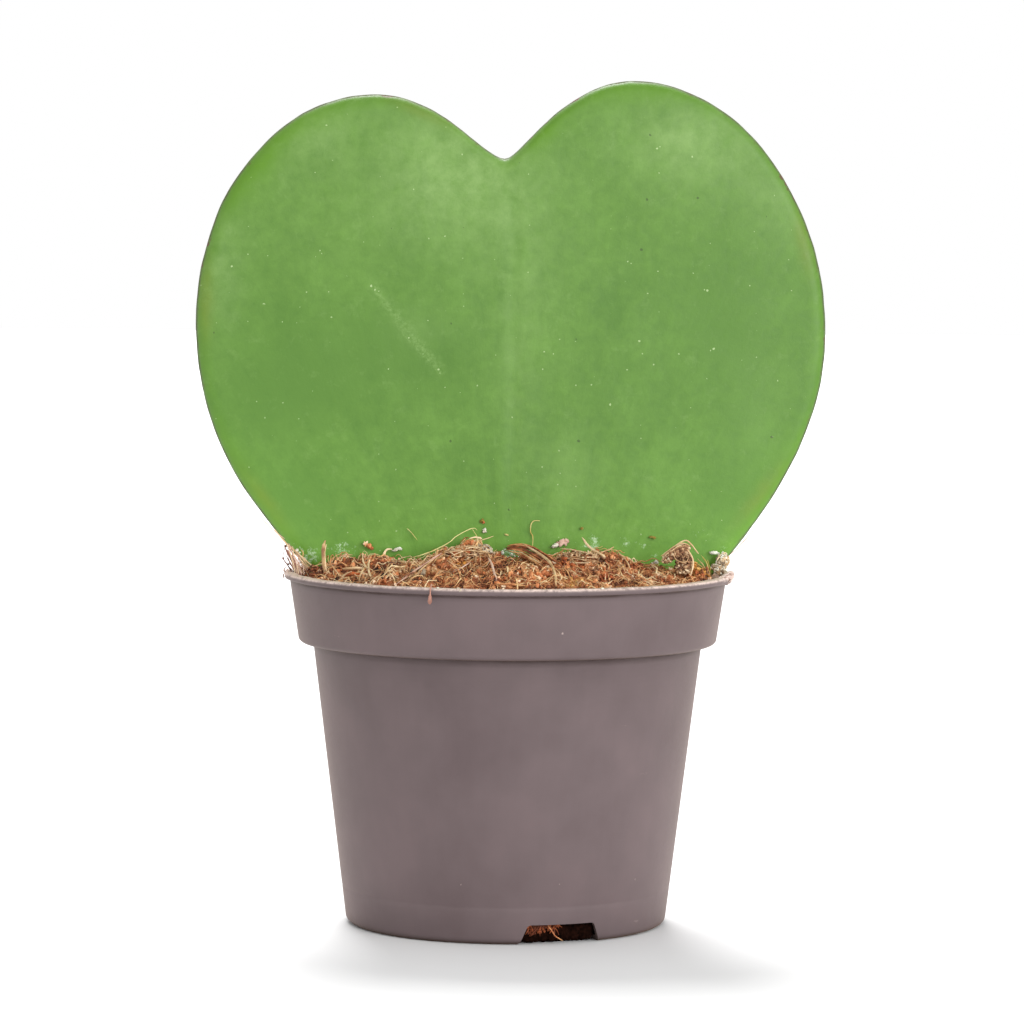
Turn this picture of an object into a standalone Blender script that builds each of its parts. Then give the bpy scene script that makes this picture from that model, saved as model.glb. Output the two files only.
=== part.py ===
"""A rooted heart-leaf hoya cutting standing in a small moulded nursery pot.

Three pieces: the pot, the coir potting mix that fills it, and the leaf with
its petiole and roots. Units are metres, +Z is up, the leaf's face looks along
-Y, and the origin is where the pot's axis meets the surface it stands on.
"""

import math
import random

import bmesh
import bpy
from mathutils import Matrix, Vector, noise
from mathutils.geometry import interpolate_bezier

# What every piece shares
GAP = 0.0003                  # clearance between pieces that touch
ROUND_SEGMENTS = 64           # sides of everything turned round the pot's axis
MERGE = 1e-6                  # points closer than this are one point

# Pot: a thin tapered wall, a stepped collar and a small lip
POT_HEIGHT = 0.0473
POT_WALL = 0.0007
WALL_FOOT_RADIUS = 0.02150    # outer wall carried straight down to the ground
WALL_TAPER = 0.1228           # outward lean of the wall, per metre of height
COLLAR_BASE = 0.0379          # height of the collar's lower edge
COLLAR_BASE_RADIUS = 0.02806
COLLAR_TOP_RADIUS = 0.02935
COLLAR_CORNER = 0.0007        # rounding of the collar's lower edge
LIP_RADIUS = 0.0300
LIP_DEPTH = 0.0009
LIP_CORNER = 0.0003
FOOT_CORNER = 0.0011          # rounding between the wall and the ground
FLOOR_LIFT = 0.0029           # underside of the raised floor above the ground
FOOT_RING_INNER = 0.0170      # the floor steps up inside this radius
FLOOR_SLOPE = 0.0016          # radius lost over that step

# Drain notches through the foot
NOTCH_COUNT = 3
NOTCH_ANGLE = math.radians(-70.0)   # middle of the first one, from +X
NOTCH_HEIGHT = 0.00265
NOTCH_TOP_WIDTH = 0.0092
NOTCH_FOOT_WIDTH = 0.0112
NOTCH_CORNER = 0.0006
NOTCH_INNER = 0.0184          # radius where a notch stops in the foot ring

# Potting mix
MIX_EDGE_DROP = 0.0012        # mix below the rim where it meets the wall
MIX_MOUND = 0.0030            # rise from the wall to the middle
MIX_RINGS = 11                # rings of the lumpy top
LUMPS = ((0.0036, 0.0011), (0.0019, 0.0008))           # (width, height)
HEAPS = ((-0.0063, -0.0050, 0.0022, 0.0045),           # (x, y, height, width)
         (0.0092, -0.0045, 0.0017, 0.0050),
         (-0.0080, 0.0090, 0.0016, 0.0060))
CLOD = (0.0222, -0.0085, 0.0021)                       # (x, y, radius)
CRUMB_COUNT = 58
CRUMB_RADIUS = (0.0005, 0.0012)
CRUMB_ROUGHNESS = 0.25        # share of its radius that a crumb's corners vary by
CRUMB_FLATNESS = 0.85         # height of a crumb over its width
FIBRE_COUNT = 58
FIBRE_POINTS = 6
FIBRE_LENGTH = (0.0045, 0.0110)
FIBRE_RADIUS = (0.00030, 0.00014)                      # (root, tip)
FIBRE_ARCH = (0.0004, 0.0026)
FIBRE_CURL = 1.3              # furthest turn of a fibre from root to tip, radians
FIBRE_ROOT = 0.0011           # depth of a fibre's root in the mix
POCKET = (0.0028, 0.0026, 0.0016)    # washed-out hollow's half sizes: out, along, up
POCKET_OFFSET = 0.0026               # that hollow's shift along the first notch
SEED = 14

# Leaf: outline knots in the XZ plane, clockwise from the notch between the
# lobes, each with its handle back and its handle forward
LEAF_KNOTS = (
    ((-0.0008, 0.1027), (-0.0027, 0.0000), (0.0022, 0.0000)),     # notch
    ((0.0165, 0.1133), (-0.0097, 0.0000), (0.0139, 0.0000)),      # right crown
    ((0.0426, 0.0790), (0.0000, 0.0189), (0.0000, -0.0106)),      # right flank
    ((0.0334, 0.0543), (0.0039, 0.0057), (-0.0068, -0.0099)),     # right, over the rim
    ((0.0003, 0.0206), (0.0095, 0.0074), (-0.0095, 0.0074)),      # buried base
    ((-0.0330, 0.0546), (0.0075, -0.0094), (-0.0039, 0.0050)),    # left, over the rim
    ((-0.0423, 0.0807), (0.0000, -0.0129), (0.0000, 0.0176)),     # left flank
    ((-0.0184, 0.1113), (-0.0123, 0.0000), (0.0092, 0.0000)),     # left crown
)
LEAF_STEPS = 12               # outline points from knot to knot
LEAF_CENTRE = (-0.0004, 0.0726)
LEAF_THICKNESS = 0.0027
LEAF_MARGIN = 0.0017          # width of the rounded margin
MARGIN_INSETS = (0.00025, 0.0008, 0.0017)
BLADE_RINGS = (0.86, 0.66, 0.44, 0.22)     # inner rings, as shares of the radius
LOBE_SWEEP = 0.0018           # how far the flanks curve back from the midrib
TIP_SWEEP = 0.0026            # how far the crowns curve back from the base
PETIOLE_TOP = 0.0268
PETIOLE_END = 0.0118
PETIOLE_RADIUS = (0.0018, 0.0014)
ROOT_COUNT = 5
ROOT_REACH = 0.0105
ROOT_DROP = 0.0042
ROOT_BOW = 0.0018             # sideways bow of a root
ROOT_RADIUS = (0.00062, 0.00040)
ROOT_SHARES = (0.0, 0.25, 0.5, 0.75, 1.0)


def clear_scene():
    for obj in list(bpy.data.objects):
        bpy.data.objects.remove(obj, do_unlink=True)


def make_material(name, colour, roughness):
    material = bpy.data.materials.new(name)
    material.use_nodes = True
    shader = material.node_tree.nodes["Principled BSDF"]
    shader.inputs["Base Color"].default_value = (*colour, 1.0)
    shader.inputs["Roughness"].default_value = roughness
    shader.inputs["Metallic"].default_value = 0.0
    return material


def add_object(name, bm):
    """Turn a bmesh into an object with its faces pointing out."""
    bmesh.ops.recalc_face_normals(bm, faces=bm.faces)
    mesh = bpy.data.meshes.new(name)
    bm.to_mesh(mesh)
    bm.free()
    obj = bpy.data.objects.new(name, mesh)
    bpy.context.scene.collection.objects.link(obj)
    return obj


def apply_boolean(obj, operation, tools):
    """Join or cut obj with a list of tool objects, then remove the tools."""
    group = bpy.data.collections.new(obj.name + "_tools")
    bpy.context.scene.collection.children.link(group)
    for tool in tools:
        for home in list(tool.users_collection):
            home.objects.unlink(tool)
        group.objects.link(tool)
    modifier = obj.modifiers.new(operation.lower(), "BOOLEAN")
    modifier.operation = operation
    modifier.operand_type = "COLLECTION"
    modifier.collection = group
    modifier.solver = "EXACT"
    graph = bpy.context.evaluated_depsgraph_get()
    result = bpy.data.meshes.new_from_object(obj.evaluated_get(graph))
    obj.modifiers.clear()
    obj.data = result
    for tool in tools:
        bpy.data.objects.remove(tool, do_unlink=True)
    bpy.data.collections.remove(group)


def keep_largest_body(obj):
    """Drop the loose scraps that a cut leaves behind."""
    bm = bmesh.new()
    bm.from_mesh(obj.data)
    bmesh.ops.remove_doubles(bm, verts=bm.verts, dist=MERGE)
    unseen = set(bm.faces)
    bodies = []
    while unseen:
        body = [unseen.pop()]
        for face in body:
            for edge in face.edges:
                fresh = [other for other in edge.link_faces if other in unseen]
                unseen.difference_update(fresh)
                body += fresh
        bodies.append(body)
    bodies.sort(key=len)
    for scrap in bodies[:-1]:
        bmesh.ops.delete(bm, geom=scrap, context="FACES")
    bmesh.ops.triangulate(bm, faces=bm.faces)
    bm.to_mesh(obj.data)
    bm.free()


def finish_object(obj, material, crease_degrees):
    """Give a piece its one material and shade its round faces smooth."""
    obj.data.materials.clear()
    obj.data.materials.append(material)
    obj.data.shade_smooth()
    obj.data.set_sharp_from_angle(angle=math.radians(crease_degrees))


def rounded(corners, steps=4):
    """Replace each (a, b, radius) corner by an arc where radius isn't zero."""
    points = []
    last = len(corners) - 1
    for i, (a, b, radius) in enumerate(corners):
        here = Vector((a, b))
        if radius == 0.0:
            points.append(here)
            continue
        before = Vector(corners[i - 1][:2]) - here
        after = Vector(corners[0 if i == last else i + 1][:2]) - here
        before.normalize()
        after.normalize()
        half = before.angle(after) / 2
        reach = radius / math.tan(half)
        centre = here + (before + after).normalized() * (radius / math.sin(half))
        start = here + before * reach - centre
        turn = start.angle_signed(here + after * reach - centre)
        for k in range(steps + 1):
            step = Matrix.Rotation(-turn * k / steps, 2)
            points.append(centre + step @ start)
    return points


def revolve(profile):
    """Spin an open (radius, height) profile whose ends are on the axis."""
    bm = bmesh.new()
    verts = [bm.verts.new((r, 0.0, z)) for r, z in profile]
    edges = [bm.edges.new(pair) for pair in zip(verts, verts[1:])]
    bmesh.ops.spin(bm, geom=verts + edges, cent=(0, 0, 0), axis=(0, 0, 1),
                   steps=ROUND_SEGMENTS, angle=2 * math.pi)
    bmesh.ops.remove_doubles(bm, verts=bm.verts, dist=MERGE)
    return bm


def tube(path, radii, sides):
    """A closed round tube along a path, with one radius for each point."""
    bm = bmesh.new()
    rings = []
    side = None
    for i, point in enumerate(path):
        ahead = path[min(i + 1, len(path) - 1)] - path[max(i - 1, 0)]
        ahead.normalize()
        guess = side or (Vector((0, 0, 1)) if abs(ahead.z) < 0.9 else Vector((1, 0, 0)))
        side = (guess - ahead * guess.dot(ahead)).normalized()
        across = ahead.cross(side)
        ring = []
        for k in range(sides):
            angle = 2 * math.pi * k / sides
            reach = side * math.cos(angle) + across * math.sin(angle)
            ring.append(bm.verts.new(point + reach * radii[i]))
        rings.append(ring)
    for low, high in zip(rings, rings[1:]):
        for k in range(sides):
            j = (k + 1) % sides
            bm.faces.new((low[k], low[j], high[j], high[k]))
    bm.faces.new(rings[0])
    bm.faces.new(rings[-1])
    bmesh.ops.triangulate(bm, faces=bm.faces)
    return bm


def blend(pair, share):
    """The value a share of the way from the pair's first to its second."""
    return pair[0] + (pair[1] - pair[0]) * share


# ---- Pot ----

def wall_radius(z):
    """Outer radius of the tapered wall at height z."""
    return WALL_FOOT_RADIUS + WALL_TAPER * z


def collar_radius(z):
    """Outer radius of the collar at height z."""
    top = POT_HEIGHT - LIP_DEPTH
    share = (z - COLLAR_BASE) / (top - COLLAR_BASE)
    return blend((COLLAR_BASE_RADIUS, COLLAR_TOP_RADIUS), share)


def pot_profile():
    """The pot's section, from the axis under the floor, out, up and back in."""
    shelf = COLLAR_BASE + POT_WALL
    lip_base = POT_HEIGHT - LIP_DEPTH
    ring_top = FOOT_RING_INNER + POT_WALL
    inner_corner = FOOT_CORNER - POT_WALL
    return rounded([
        (0.0, FLOOR_LIFT, 0.0),
        (FOOT_RING_INNER - FLOOR_SLOPE, FLOOR_LIFT, 0.0),
        (FOOT_RING_INNER, 0.0, 0.0),
        (wall_radius(0.0), 0.0, FOOT_CORNER),
        (wall_radius(COLLAR_BASE), COLLAR_BASE, 0.0),
        (COLLAR_BASE_RADIUS, COLLAR_BASE, COLLAR_CORNER),
        (COLLAR_TOP_RADIUS, lip_base, 0.0),
        (LIP_RADIUS, lip_base, LIP_CORNER),
        (LIP_RADIUS, POT_HEIGHT, LIP_CORNER),
        (COLLAR_TOP_RADIUS - POT_WALL, POT_HEIGHT, 0.0),
        (collar_radius(shelf) - POT_WALL, shelf, 0.0),
        (wall_radius(shelf) - POT_WALL, shelf, 0.0),
        (wall_radius(POT_WALL) - POT_WALL, POT_WALL, inner_corner),
        (ring_top, POT_WALL, 0.0),
        (ring_top - FLOOR_SLOPE, FLOOR_LIFT + POT_WALL, 0.0),
        (0.0, FLOOR_LIFT + POT_WALL, 0.0),
    ], steps=3)


def notch_cutter(angle):
    """A prism that runs out through the foot, wider at the ground."""
    below = -0.001
    beyond = wall_radius(0.0) + 0.003
    flare = (NOTCH_FOOT_WIDTH - NOTCH_TOP_WIDTH) / 2 * -below / NOTCH_HEIGHT
    half_foot = NOTCH_FOOT_WIDTH / 2 + flare
    half_top = NOTCH_TOP_WIDTH / 2
    section = rounded([
        (-half_foot, below, 0.0),
        (half_foot, below, 0.0),
        (half_top, NOTCH_HEIGHT, NOTCH_CORNER),
        (-half_top, NOTCH_HEIGHT, NOTCH_CORNER),
    ], steps=3)
    bm = bmesh.new()
    face = bm.faces.new([bm.verts.new((NOTCH_INNER, u, z)) for u, z in section])
    grown = bmesh.ops.extrude_face_region(bm, geom=[face])
    moved = [v for v in grown["geom"] if isinstance(v, bmesh.types.BMVert)]
    bmesh.ops.translate(bm, verts=moved, vec=(beyond - NOTCH_INNER, 0, 0))
    bmesh.ops.rotate(bm, verts=bm.verts, cent=(0, 0, 0), matrix=Matrix.Rotation(angle, 3, "Z"))
    return add_object("notch_cutter", bm)


def make_pot():
    pot = add_object("nursery_pot", revolve(pot_profile()))
    turns = [NOTCH_ANGLE + 2 * math.pi * i / NOTCH_COUNT for i in range(NOTCH_COUNT)]
    apply_boolean(pot, "DIFFERENCE", [notch_cutter(turn) for turn in turns])
    keep_largest_body(pot)
    finish_object(pot, make_material("taupe_plastic", (0.20, 0.155, 0.150), 0.45), 30)
    return pot


# ---- Leaf, petiole and roots ----

def leaf_outline(steps, grow=0.0):
    """Points round the blade, pushed out square to its edge by grow."""
    points = []
    for i, (knot, _, forward) in enumerate(LEAF_KNOTS):
        after, back, _ = LEAF_KNOTS[(i + 1) % len(LEAF_KNOTS)]
        knot, after = Vector(knot), Vector(after)
        arc = interpolate_bezier(knot, knot + Vector(forward),
                                 after + Vector(back), after, steps + 1)
        points += [p.copy() for p in arc[:-1]]
    count = len(points)
    grown = []
    for i, point in enumerate(points):
        along = (points[(i + 1) % count] - points[i - 1]).normalized()
        grown.append(point + Vector((-along.y, along.x)) * grow)
    return grown


def leaf_sweep(x, z):
    """How far the blade's middle surface lies behind the plane Y = 0."""
    across = x / LEAF_KNOTS[2][0][0]
    up = max(0.0, (z - POT_HEIGHT) / (LEAF_KNOTS[1][0][1] - POT_HEIGHT))
    return LOBE_SWEEP * across * across + TIP_SWEEP * up * up


def blade_ring(bm, outline, face, half, inset=0.0, share=1.0):
    """One ring of a face: an inset from the outline, or a share of its radius.

    face is -1 for the front, 1 for the back and 0 for the outline itself.
    """
    centre = Vector(LEAF_CENTRE)
    depth = min(1.0, inset / LEAF_MARGIN) if inset else 1.0
    thick = face * half * math.sqrt(1.0 - (1.0 - depth) ** 2)
    ring = []
    for edge in outline:
        ray = edge - centre
        spot = centre + ray * (share - inset / ray.length)
        ring.append(bm.verts.new((spot.x, leaf_sweep(spot.x, spot.y) + thick, spot.y)))
    return ring


def make_blade(steps, grow=0.0):
    """The heart-shaped blade: matching rings on both faces, one shared edge."""
    bm = bmesh.new()
    outline = leaf_outline(steps, grow)
    half = LEAF_THICKNESS / 2 + grow
    edge = blade_ring(bm, outline, 0, half)
    for face in (-1, 1):
        rings = [edge]
        rings += [blade_ring(bm, outline, face, half, inset=inset) for inset in MARGIN_INSETS]
        rings += [blade_ring(bm, outline, face, half, share=share) for share in BLADE_RINGS]
        hub_x, hub_z = LEAF_CENTRE
        hub = bm.verts.new((hub_x, leaf_sweep(hub_x, hub_z) + face * half, hub_z))
        for k in range(len(outline)):
            j = (k + 1) % len(outline)
            for outer, inner in zip(rings, rings[1:]):
                bm.faces.new((outer[k], outer[j], inner[j]))
                bm.faces.new((outer[k], inner[j], inner[k]))
            bm.faces.new((rings[-1][k], rings[-1][j], hub))
    return bm


def petiole_and_roots(grow=0.0):
    """Closed tubes for the leaf stalk and the roots that leave its end."""
    base_x = LEAF_KNOTS[4][0][0]
    top = Vector((base_x, 0.0, PETIOLE_TOP))
    end = Vector((base_x, 0.0, PETIOLE_END - grow))
    stalk = [top.lerp(end, share) for share in (0.0, 0.4, 0.75, 1.0)]
    radii = [blend(PETIOLE_RADIUS, share) + grow for share in (0.0, 0.6, 0.9, 1.0)]
    tools = [add_object("petiole", tube(stalk, radii, 10))]
    for i in range(ROOT_COUNT):
        turn = 2 * math.pi * (i + 0.25) / ROOT_COUNT
        out = Vector((math.cos(turn), math.sin(turn), 0.0))
        aside = Vector((-out.y, out.x, 0.0)) * ROOT_BOW
        reach = ROOT_REACH * (1.0 if i % 2 else 0.8) + grow
        start = Vector((base_x, 0.0, PETIOLE_END + 0.0012 + 0.0006 * (i % 3)))
        path = []
        for share in ROOT_SHARES:
            bow = aside * math.sin(math.pi * share)
            drop = Vector((0.0, 0.0, -ROOT_DROP * share * share))
            path.append(start + out * (reach * share) + bow + drop)
        radii = [blend(ROOT_RADIUS, share) + grow for share in ROOT_SHARES]
        tools.append(add_object("root", tube(path, radii, 6)))
    return tools


def make_leaf():
    leaf = add_object("heart_leaf", make_blade(LEAF_STEPS))
    apply_boolean(leaf, "UNION", petiole_and_roots())
    keep_largest_body(leaf)
    finish_object(leaf, make_material("hoya_leaf", (0.095, 0.275, 0.050), 0.42), 40)
    return leaf


# ---- Potting mix ----

def mix_height(x, y):
    """Height of the mix's top, a lumpy mound, without its loose pieces."""
    edge = COLLAR_TOP_RADIUS - POT_WALL - GAP
    inward = max(0.0, 1.0 - (x * x + y * y) / (edge * edge))
    height = POT_HEIGHT - MIX_EDGE_DROP + MIX_MOUND * inward ** 0.8
    for heap_x, heap_y, rise, width in HEAPS:
        away = ((x - heap_x) ** 2 + (y - heap_y) ** 2) / (width * width)
        height += rise * math.exp(-away)
    for width, rise in LUMPS:
        height += rise * noise.noise(Vector((x / width, y / width, rise / width)))
    return height


def mix_body():
    """A turned solid one gap inside the pot, with its top raised into lumps."""
    shelf = COLLAR_BASE + POT_WALL + GAP
    floor = FLOOR_LIFT + POT_WALL + GAP
    channel = POT_WALL + GAP
    chamfer = FOOT_CORNER - POT_WALL + GAP
    step_in = FOOT_RING_INNER + POT_WALL + GAP
    top = POT_HEIGHT - MIX_EDGE_DROP

    def inside(outer):
        return outer - POT_WALL - GAP

    profile = [
        (0.0, floor),
        (step_in - FLOOR_SLOPE, floor),
        (step_in, channel),
        (inside(wall_radius(channel)) - chamfer, channel),
        (inside(wall_radius(channel + chamfer)), channel + chamfer),
        (inside(wall_radius(COLLAR_BASE / 2)), COLLAR_BASE / 2),
        (inside(wall_radius(shelf)), shelf),
        (inside(collar_radius(shelf)), shelf),
        (inside(collar_radius(top)), top),
    ]
    edge = profile[-1][0]
    profile += [(edge * (1 - i / MIX_RINGS), top) for i in range(1, MIX_RINGS)]
    profile.append((0.0, top))
    bm = revolve(profile)
    for vert in bm.verts:
        if abs(vert.co.z - top) < MERGE:
            vert.co.z = mix_height(vert.co.x, vert.co.y)
    bmesh.ops.triangulate(bm, faces=bm.faces)
    return bm


def is_clear(point, radius):
    """Whether a round piece of loose mix misses the leaf and the pot's wall."""
    wall = COLLAR_TOP_RADIUS - POT_WALL - 2 * GAP - radius
    blade = LEAF_THICKNESS / 2 + 2 * GAP + radius
    from_blade = abs(point.y - leaf_sweep(point.x, point.z))
    return math.hypot(point.x, point.y) < wall and from_blade > blade


def on_mix(x, y, rise=0.0):
    """The point of the mix's top at (x, y), or one that far above it."""
    return Vector((x, y, mix_height(x, y) + rise))


def random_place(draw, radius):
    """A clear place on the mix, in front of or behind the leaf."""
    edge = COLLAR_TOP_RADIUS
    while True:
        place = on_mix(draw.uniform(-edge, edge), draw.uniform(-edge, edge))
        if is_clear(place, radius):
            return place


def make_crumb(draw, place, radius):
    """A rough lump half sunk in the mix."""
    bm = bmesh.new()
    bmesh.ops.create_icosphere(bm, subdivisions=1, radius=radius)
    for vert in bm.verts:
        vert.co *= draw.uniform(1.0 - CRUMB_ROUGHNESS, 1.0 + CRUMB_ROUGHNESS)
        vert.co.z *= CRUMB_FLATNESS
        vert.co += place
    return add_object("crumb", bm)


def scatter_crumb(draw):
    radius = draw.uniform(*CRUMB_RADIUS)
    return make_crumb(draw, random_place(draw, radius * (1.0 + CRUMB_ROUGHNESS)), radius)


def fibre_path(draw):
    """One try at a bowed hair of coir, its root sunk in the mix."""
    spot = random_place(draw, FIBRE_RADIUS[0]).xy
    turn = draw.uniform(0, 2 * math.pi)
    curl = draw.uniform(-FIBRE_CURL, FIBRE_CURL)
    step = draw.uniform(*FIBRE_LENGTH) / FIBRE_POINTS
    arch = draw.uniform(*FIBRE_ARCH)
    path = []
    for i in range(FIBRE_POINTS):
        share = i / (FIBRE_POINTS - 1)
        rise = arch * math.sin(math.pi * (0.1 + 0.75 * share))
        sunk = FIBRE_ROOT * (1.0 - share) ** 3
        path.append(on_mix(spot.x, spot.y, rise - sunk))
        heading = turn + curl * share
        spot += Vector((math.cos(heading), math.sin(heading))) * step
    return path


def scatter_fibre(draw):
    """A three-sided tube on the first path that misses the leaf and the wall."""
    path = fibre_path(draw)
    while not all(is_clear(point, FIBRE_RADIUS[0]) for point in path):
        path = fibre_path(draw)
    radii = [blend(FIBRE_RADIUS, i / (FIBRE_POINTS - 1)) for i in range(FIBRE_POINTS)]
    return add_object("fibre", tube(path, radii, 3))


def leaf_socket():
    """The plain hole in the mix where the leaf, petiole and roots stand."""
    socket = add_object("leaf_socket", make_blade(LEAF_STEPS // 2, GAP))
    return [socket] + petiole_and_roots(GAP)


def drain_pocket():
    """A hollow where mix has washed out behind part of the first notch."""
    bm = bmesh.new()
    bmesh.ops.create_icosphere(bm, subdivisions=2, radius=1.0)
    bmesh.ops.scale(bm, verts=bm.verts, vec=POCKET)
    bmesh.ops.translate(bm, verts=bm.verts, vec=(wall_radius(0.0), POCKET_OFFSET, POT_WALL))
    bmesh.ops.rotate(bm, verts=bm.verts, cent=(0, 0, 0),
                     matrix=Matrix.Rotation(NOTCH_ANGLE, 3, "Z"))
    return add_object("drain_pocket", bm)


def make_mix():
    draw = random.Random(SEED)
    mix = add_object("potting_mix", mix_body())
    clod_x, clod_y, clod_radius = CLOD
    loose = [make_crumb(draw, on_mix(clod_x, clod_y), clod_radius)]
    loose += [scatter_crumb(draw) for _ in range(CRUMB_COUNT)]
    loose += [scatter_fibre(draw) for _ in range(FIBRE_COUNT)]
    apply_boolean(mix, "UNION", loose)
    apply_boolean(mix, "DIFFERENCE", leaf_socket() + [drain_pocket()])
    keep_largest_body(mix)
    finish_object(mix, make_material("coir_mix", (0.30, 0.13, 0.06), 0.9), 35)
    return mix


clear_scene()
make_pot()
make_mix()
make_leaf()
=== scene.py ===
import math
import random

import bmesh
import bpy
from mathutils import Euler, Matrix, Vector, noise
from mathutils.geometry import interpolate_bezier


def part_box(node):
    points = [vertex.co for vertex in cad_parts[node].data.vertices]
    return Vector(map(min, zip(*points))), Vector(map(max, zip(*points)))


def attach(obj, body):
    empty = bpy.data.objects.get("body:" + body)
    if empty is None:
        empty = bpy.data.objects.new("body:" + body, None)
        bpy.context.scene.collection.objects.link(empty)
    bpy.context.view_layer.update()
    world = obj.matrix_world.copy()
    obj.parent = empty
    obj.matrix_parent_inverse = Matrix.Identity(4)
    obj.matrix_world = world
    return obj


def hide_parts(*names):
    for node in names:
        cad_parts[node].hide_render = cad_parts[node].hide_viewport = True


# Heart-leaf hoya cutting in a small nursery pot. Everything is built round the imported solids.
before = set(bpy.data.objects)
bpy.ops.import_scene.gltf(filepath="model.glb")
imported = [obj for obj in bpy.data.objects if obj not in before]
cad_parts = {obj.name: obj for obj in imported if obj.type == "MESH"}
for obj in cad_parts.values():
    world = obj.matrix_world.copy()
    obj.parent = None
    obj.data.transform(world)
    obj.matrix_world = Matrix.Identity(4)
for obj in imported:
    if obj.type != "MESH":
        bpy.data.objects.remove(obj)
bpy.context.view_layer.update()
noise.seed_set(3)                             # vector noise starts from the clock without it
mm = 0.001

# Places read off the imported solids
potLow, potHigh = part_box("nursery_pot")
leafLow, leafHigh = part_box("heart_leaf")
rim = potHigh.z                               # top of the pot's lip
lipRadius = (potHigh.x - potLow.x) / 2
leafMiddle = (leafHigh.x + leafLow.x) / 2
leafHalf = (leafHigh.x - leafLow.x) / 2


def newHeap():
    # parts gather in a heap, and a heap becomes one piece
    return {"points": [], "faces": [], "tones": []}


def addPart(heap, points, faces, tone):
    start = len(heap["points"])
    heap["points"] += points
    heap["faces"] += [tuple(start + i for i in face) for face in faces]
    heap["tones"] += [tone] * len(points)


def paintOn(mesh, name, values):
    # one number for each point, which the material reads by name
    layer = mesh.attributes.new(name, "FLOAT", "POINT")
    layer.data.foreach_set("value", values)


def settle(name, mesh, material, node, smooth=True):
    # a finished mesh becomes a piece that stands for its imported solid
    piece = bpy.data.objects.new(name, mesh)
    bpy.context.scene.collection.objects.link(piece)
    mesh.materials.append(material)
    if smooth:
        mesh.shade_smooth()
    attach(piece, "root")
    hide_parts(node)
    mesh.calc_loop_triangles()
    print(f"  {name}: {len(mesh.loop_triangles)} triangles")
    return piece


def heapToPiece(heap, name, material, node):
    mesh = bpy.data.meshes.new(name)
    mesh.from_pydata(heap["points"], [], heap["faces"])
    paintOn(mesh, "tone", heap["tones"])
    return settle(name, mesh, material, node)


def addStrand(heap, path, radii, sides, tone, flat=1.0):
    # a closed tube along a path; flat under 1 presses it into a ribbon
    points, faces = [], []
    side = None
    last = len(path) - 1
    for i, spot in enumerate(path):
        ahead = (path[min(i + 1, last)] - path[max(i - 1, 0)]).normalized()
        guess = side
        if guess is None:
            guess = Vector((0, 0, 1)) if abs(ahead.z) < 0.9 else Vector((0, 1, 0))
        side = (guess - ahead * guess.dot(ahead)).normalized()
        across = ahead.cross(side)
        for k in range(sides):
            turn = 2 * math.pi * k / sides
            points.append(spot + (side * math.cos(turn) * flat + across * math.sin(turn)) * radii[i])
    for i in range(last):
        for k in range(sides):
            j = (k + 1) % sides
            low, high = i * sides, (i + 1) * sides
            faces.append((low + k, low + j, high + j, high + k))
    faces.append(tuple(reversed(range(sides))))
    faces.append(tuple(range(last * sides, (last + 1) * sides)))
    addPart(heap, points, faces, tone)


def roundTemplate(cuts):
    bm = bmesh.new()
    bmesh.ops.create_icosphere(bm, subdivisions=cuts, radius=1.0)
    points = [vert.co.copy() for vert in bm.verts]
    faces = [tuple(vert.index for vert in face.verts) for face in bm.faces]
    bm.free()
    return points, faces


roundShapes = {cuts: roundTemplate(cuts) for cuts in (1, 2, 3, 4)}


def addLump(heap, draw, centre, size, tone, cuts=1, rough=0.3, turned=None):
    # a crumb, grain or chip: a ball with its own three half sizes, knocked out of true
    ball, faces = roundShapes[cuts]
    shift = Vector((draw.uniform(0, 50), draw.uniform(0, 50), draw.uniform(0, 50)))
    if turned is None:
        turned = Euler((draw.uniform(0, 6.3), draw.uniform(0, 6.3), draw.uniform(0, 6.3)))
    turned = turned.to_matrix()
    points = []
    for spot in ball:
        knocks = noise.noise(spot * 1.3 + shift) + 0.6 * noise.noise(spot * 3.1 + shift)
        if cuts > 2:
            knocks += 0.5 * noise.noise(spot * 6.5 + shift)
        swell = max(0.25, 1.0 + rough * knocks)
        grown = Vector((spot.x * size[0], spot.y * size[1], spot.z * size[2])) * swell
        points.append(centre + turned @ grown)
    addPart(heap, points, faces, tone)


def smoothPath(knots, steps):
    # a soft curve through given points
    path = []
    for i in range(len(knots) - 1):
        before = knots[i - 1] if i else knots[i]
        after = knots[i + 2] if i + 2 < len(knots) else knots[i + 1]
        a, b = knots[i], knots[i + 1]
        arc = interpolate_bezier(a, a + (b - before) / 6, b - (after - a) / 6, b, steps + 1)
        path += list(arc[:-1])
    path.append(knots[-1].copy())
    return path


def easeIn(low, high, value):
    share = min(1.0, max(0.0, (value - low) / (high - low)))
    return share * share * (3 - 2 * share)


def bell(away, width):
    return math.exp(-(away / width) ** 2)


def turnBetween(a, b):
    return (a - b + math.pi) % (2 * math.pi) - math.pi


def paint(red, green, blue):
    # colour as mixed on a screen, 0 to 255, turned into light values
    def light(part):
        part /= 255
        return part / 12.92 if part <= 0.04045 else ((part + 0.055) / 1.055) ** 2.4
    return (light(red), light(green), light(blue), 1.0)


def newMaterial(name, **sockets):
    material = bpy.data.materials.new(name)
    material.use_nodes = True
    shader = material.node_tree.nodes["Principled BSDF"]
    for key, value in sockets.items():
        shader.inputs[key.replace("_", " ")].default_value = value
    return material, material.node_tree, shader


def plug(tree, socket, value):
    if isinstance(value, bpy.types.NodeSocket):
        tree.links.new(value, socket)
    else:
        socket.default_value = value


def addNode(tree, kind, inputs=None, **settings):
    made = tree.nodes.new("ShaderNode" + kind)
    for key, value in settings.items():
        setattr(made, key, value)
    for key, value in (inputs or {}).items():
        plug(tree, made.inputs[key], value)
    return made


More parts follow.
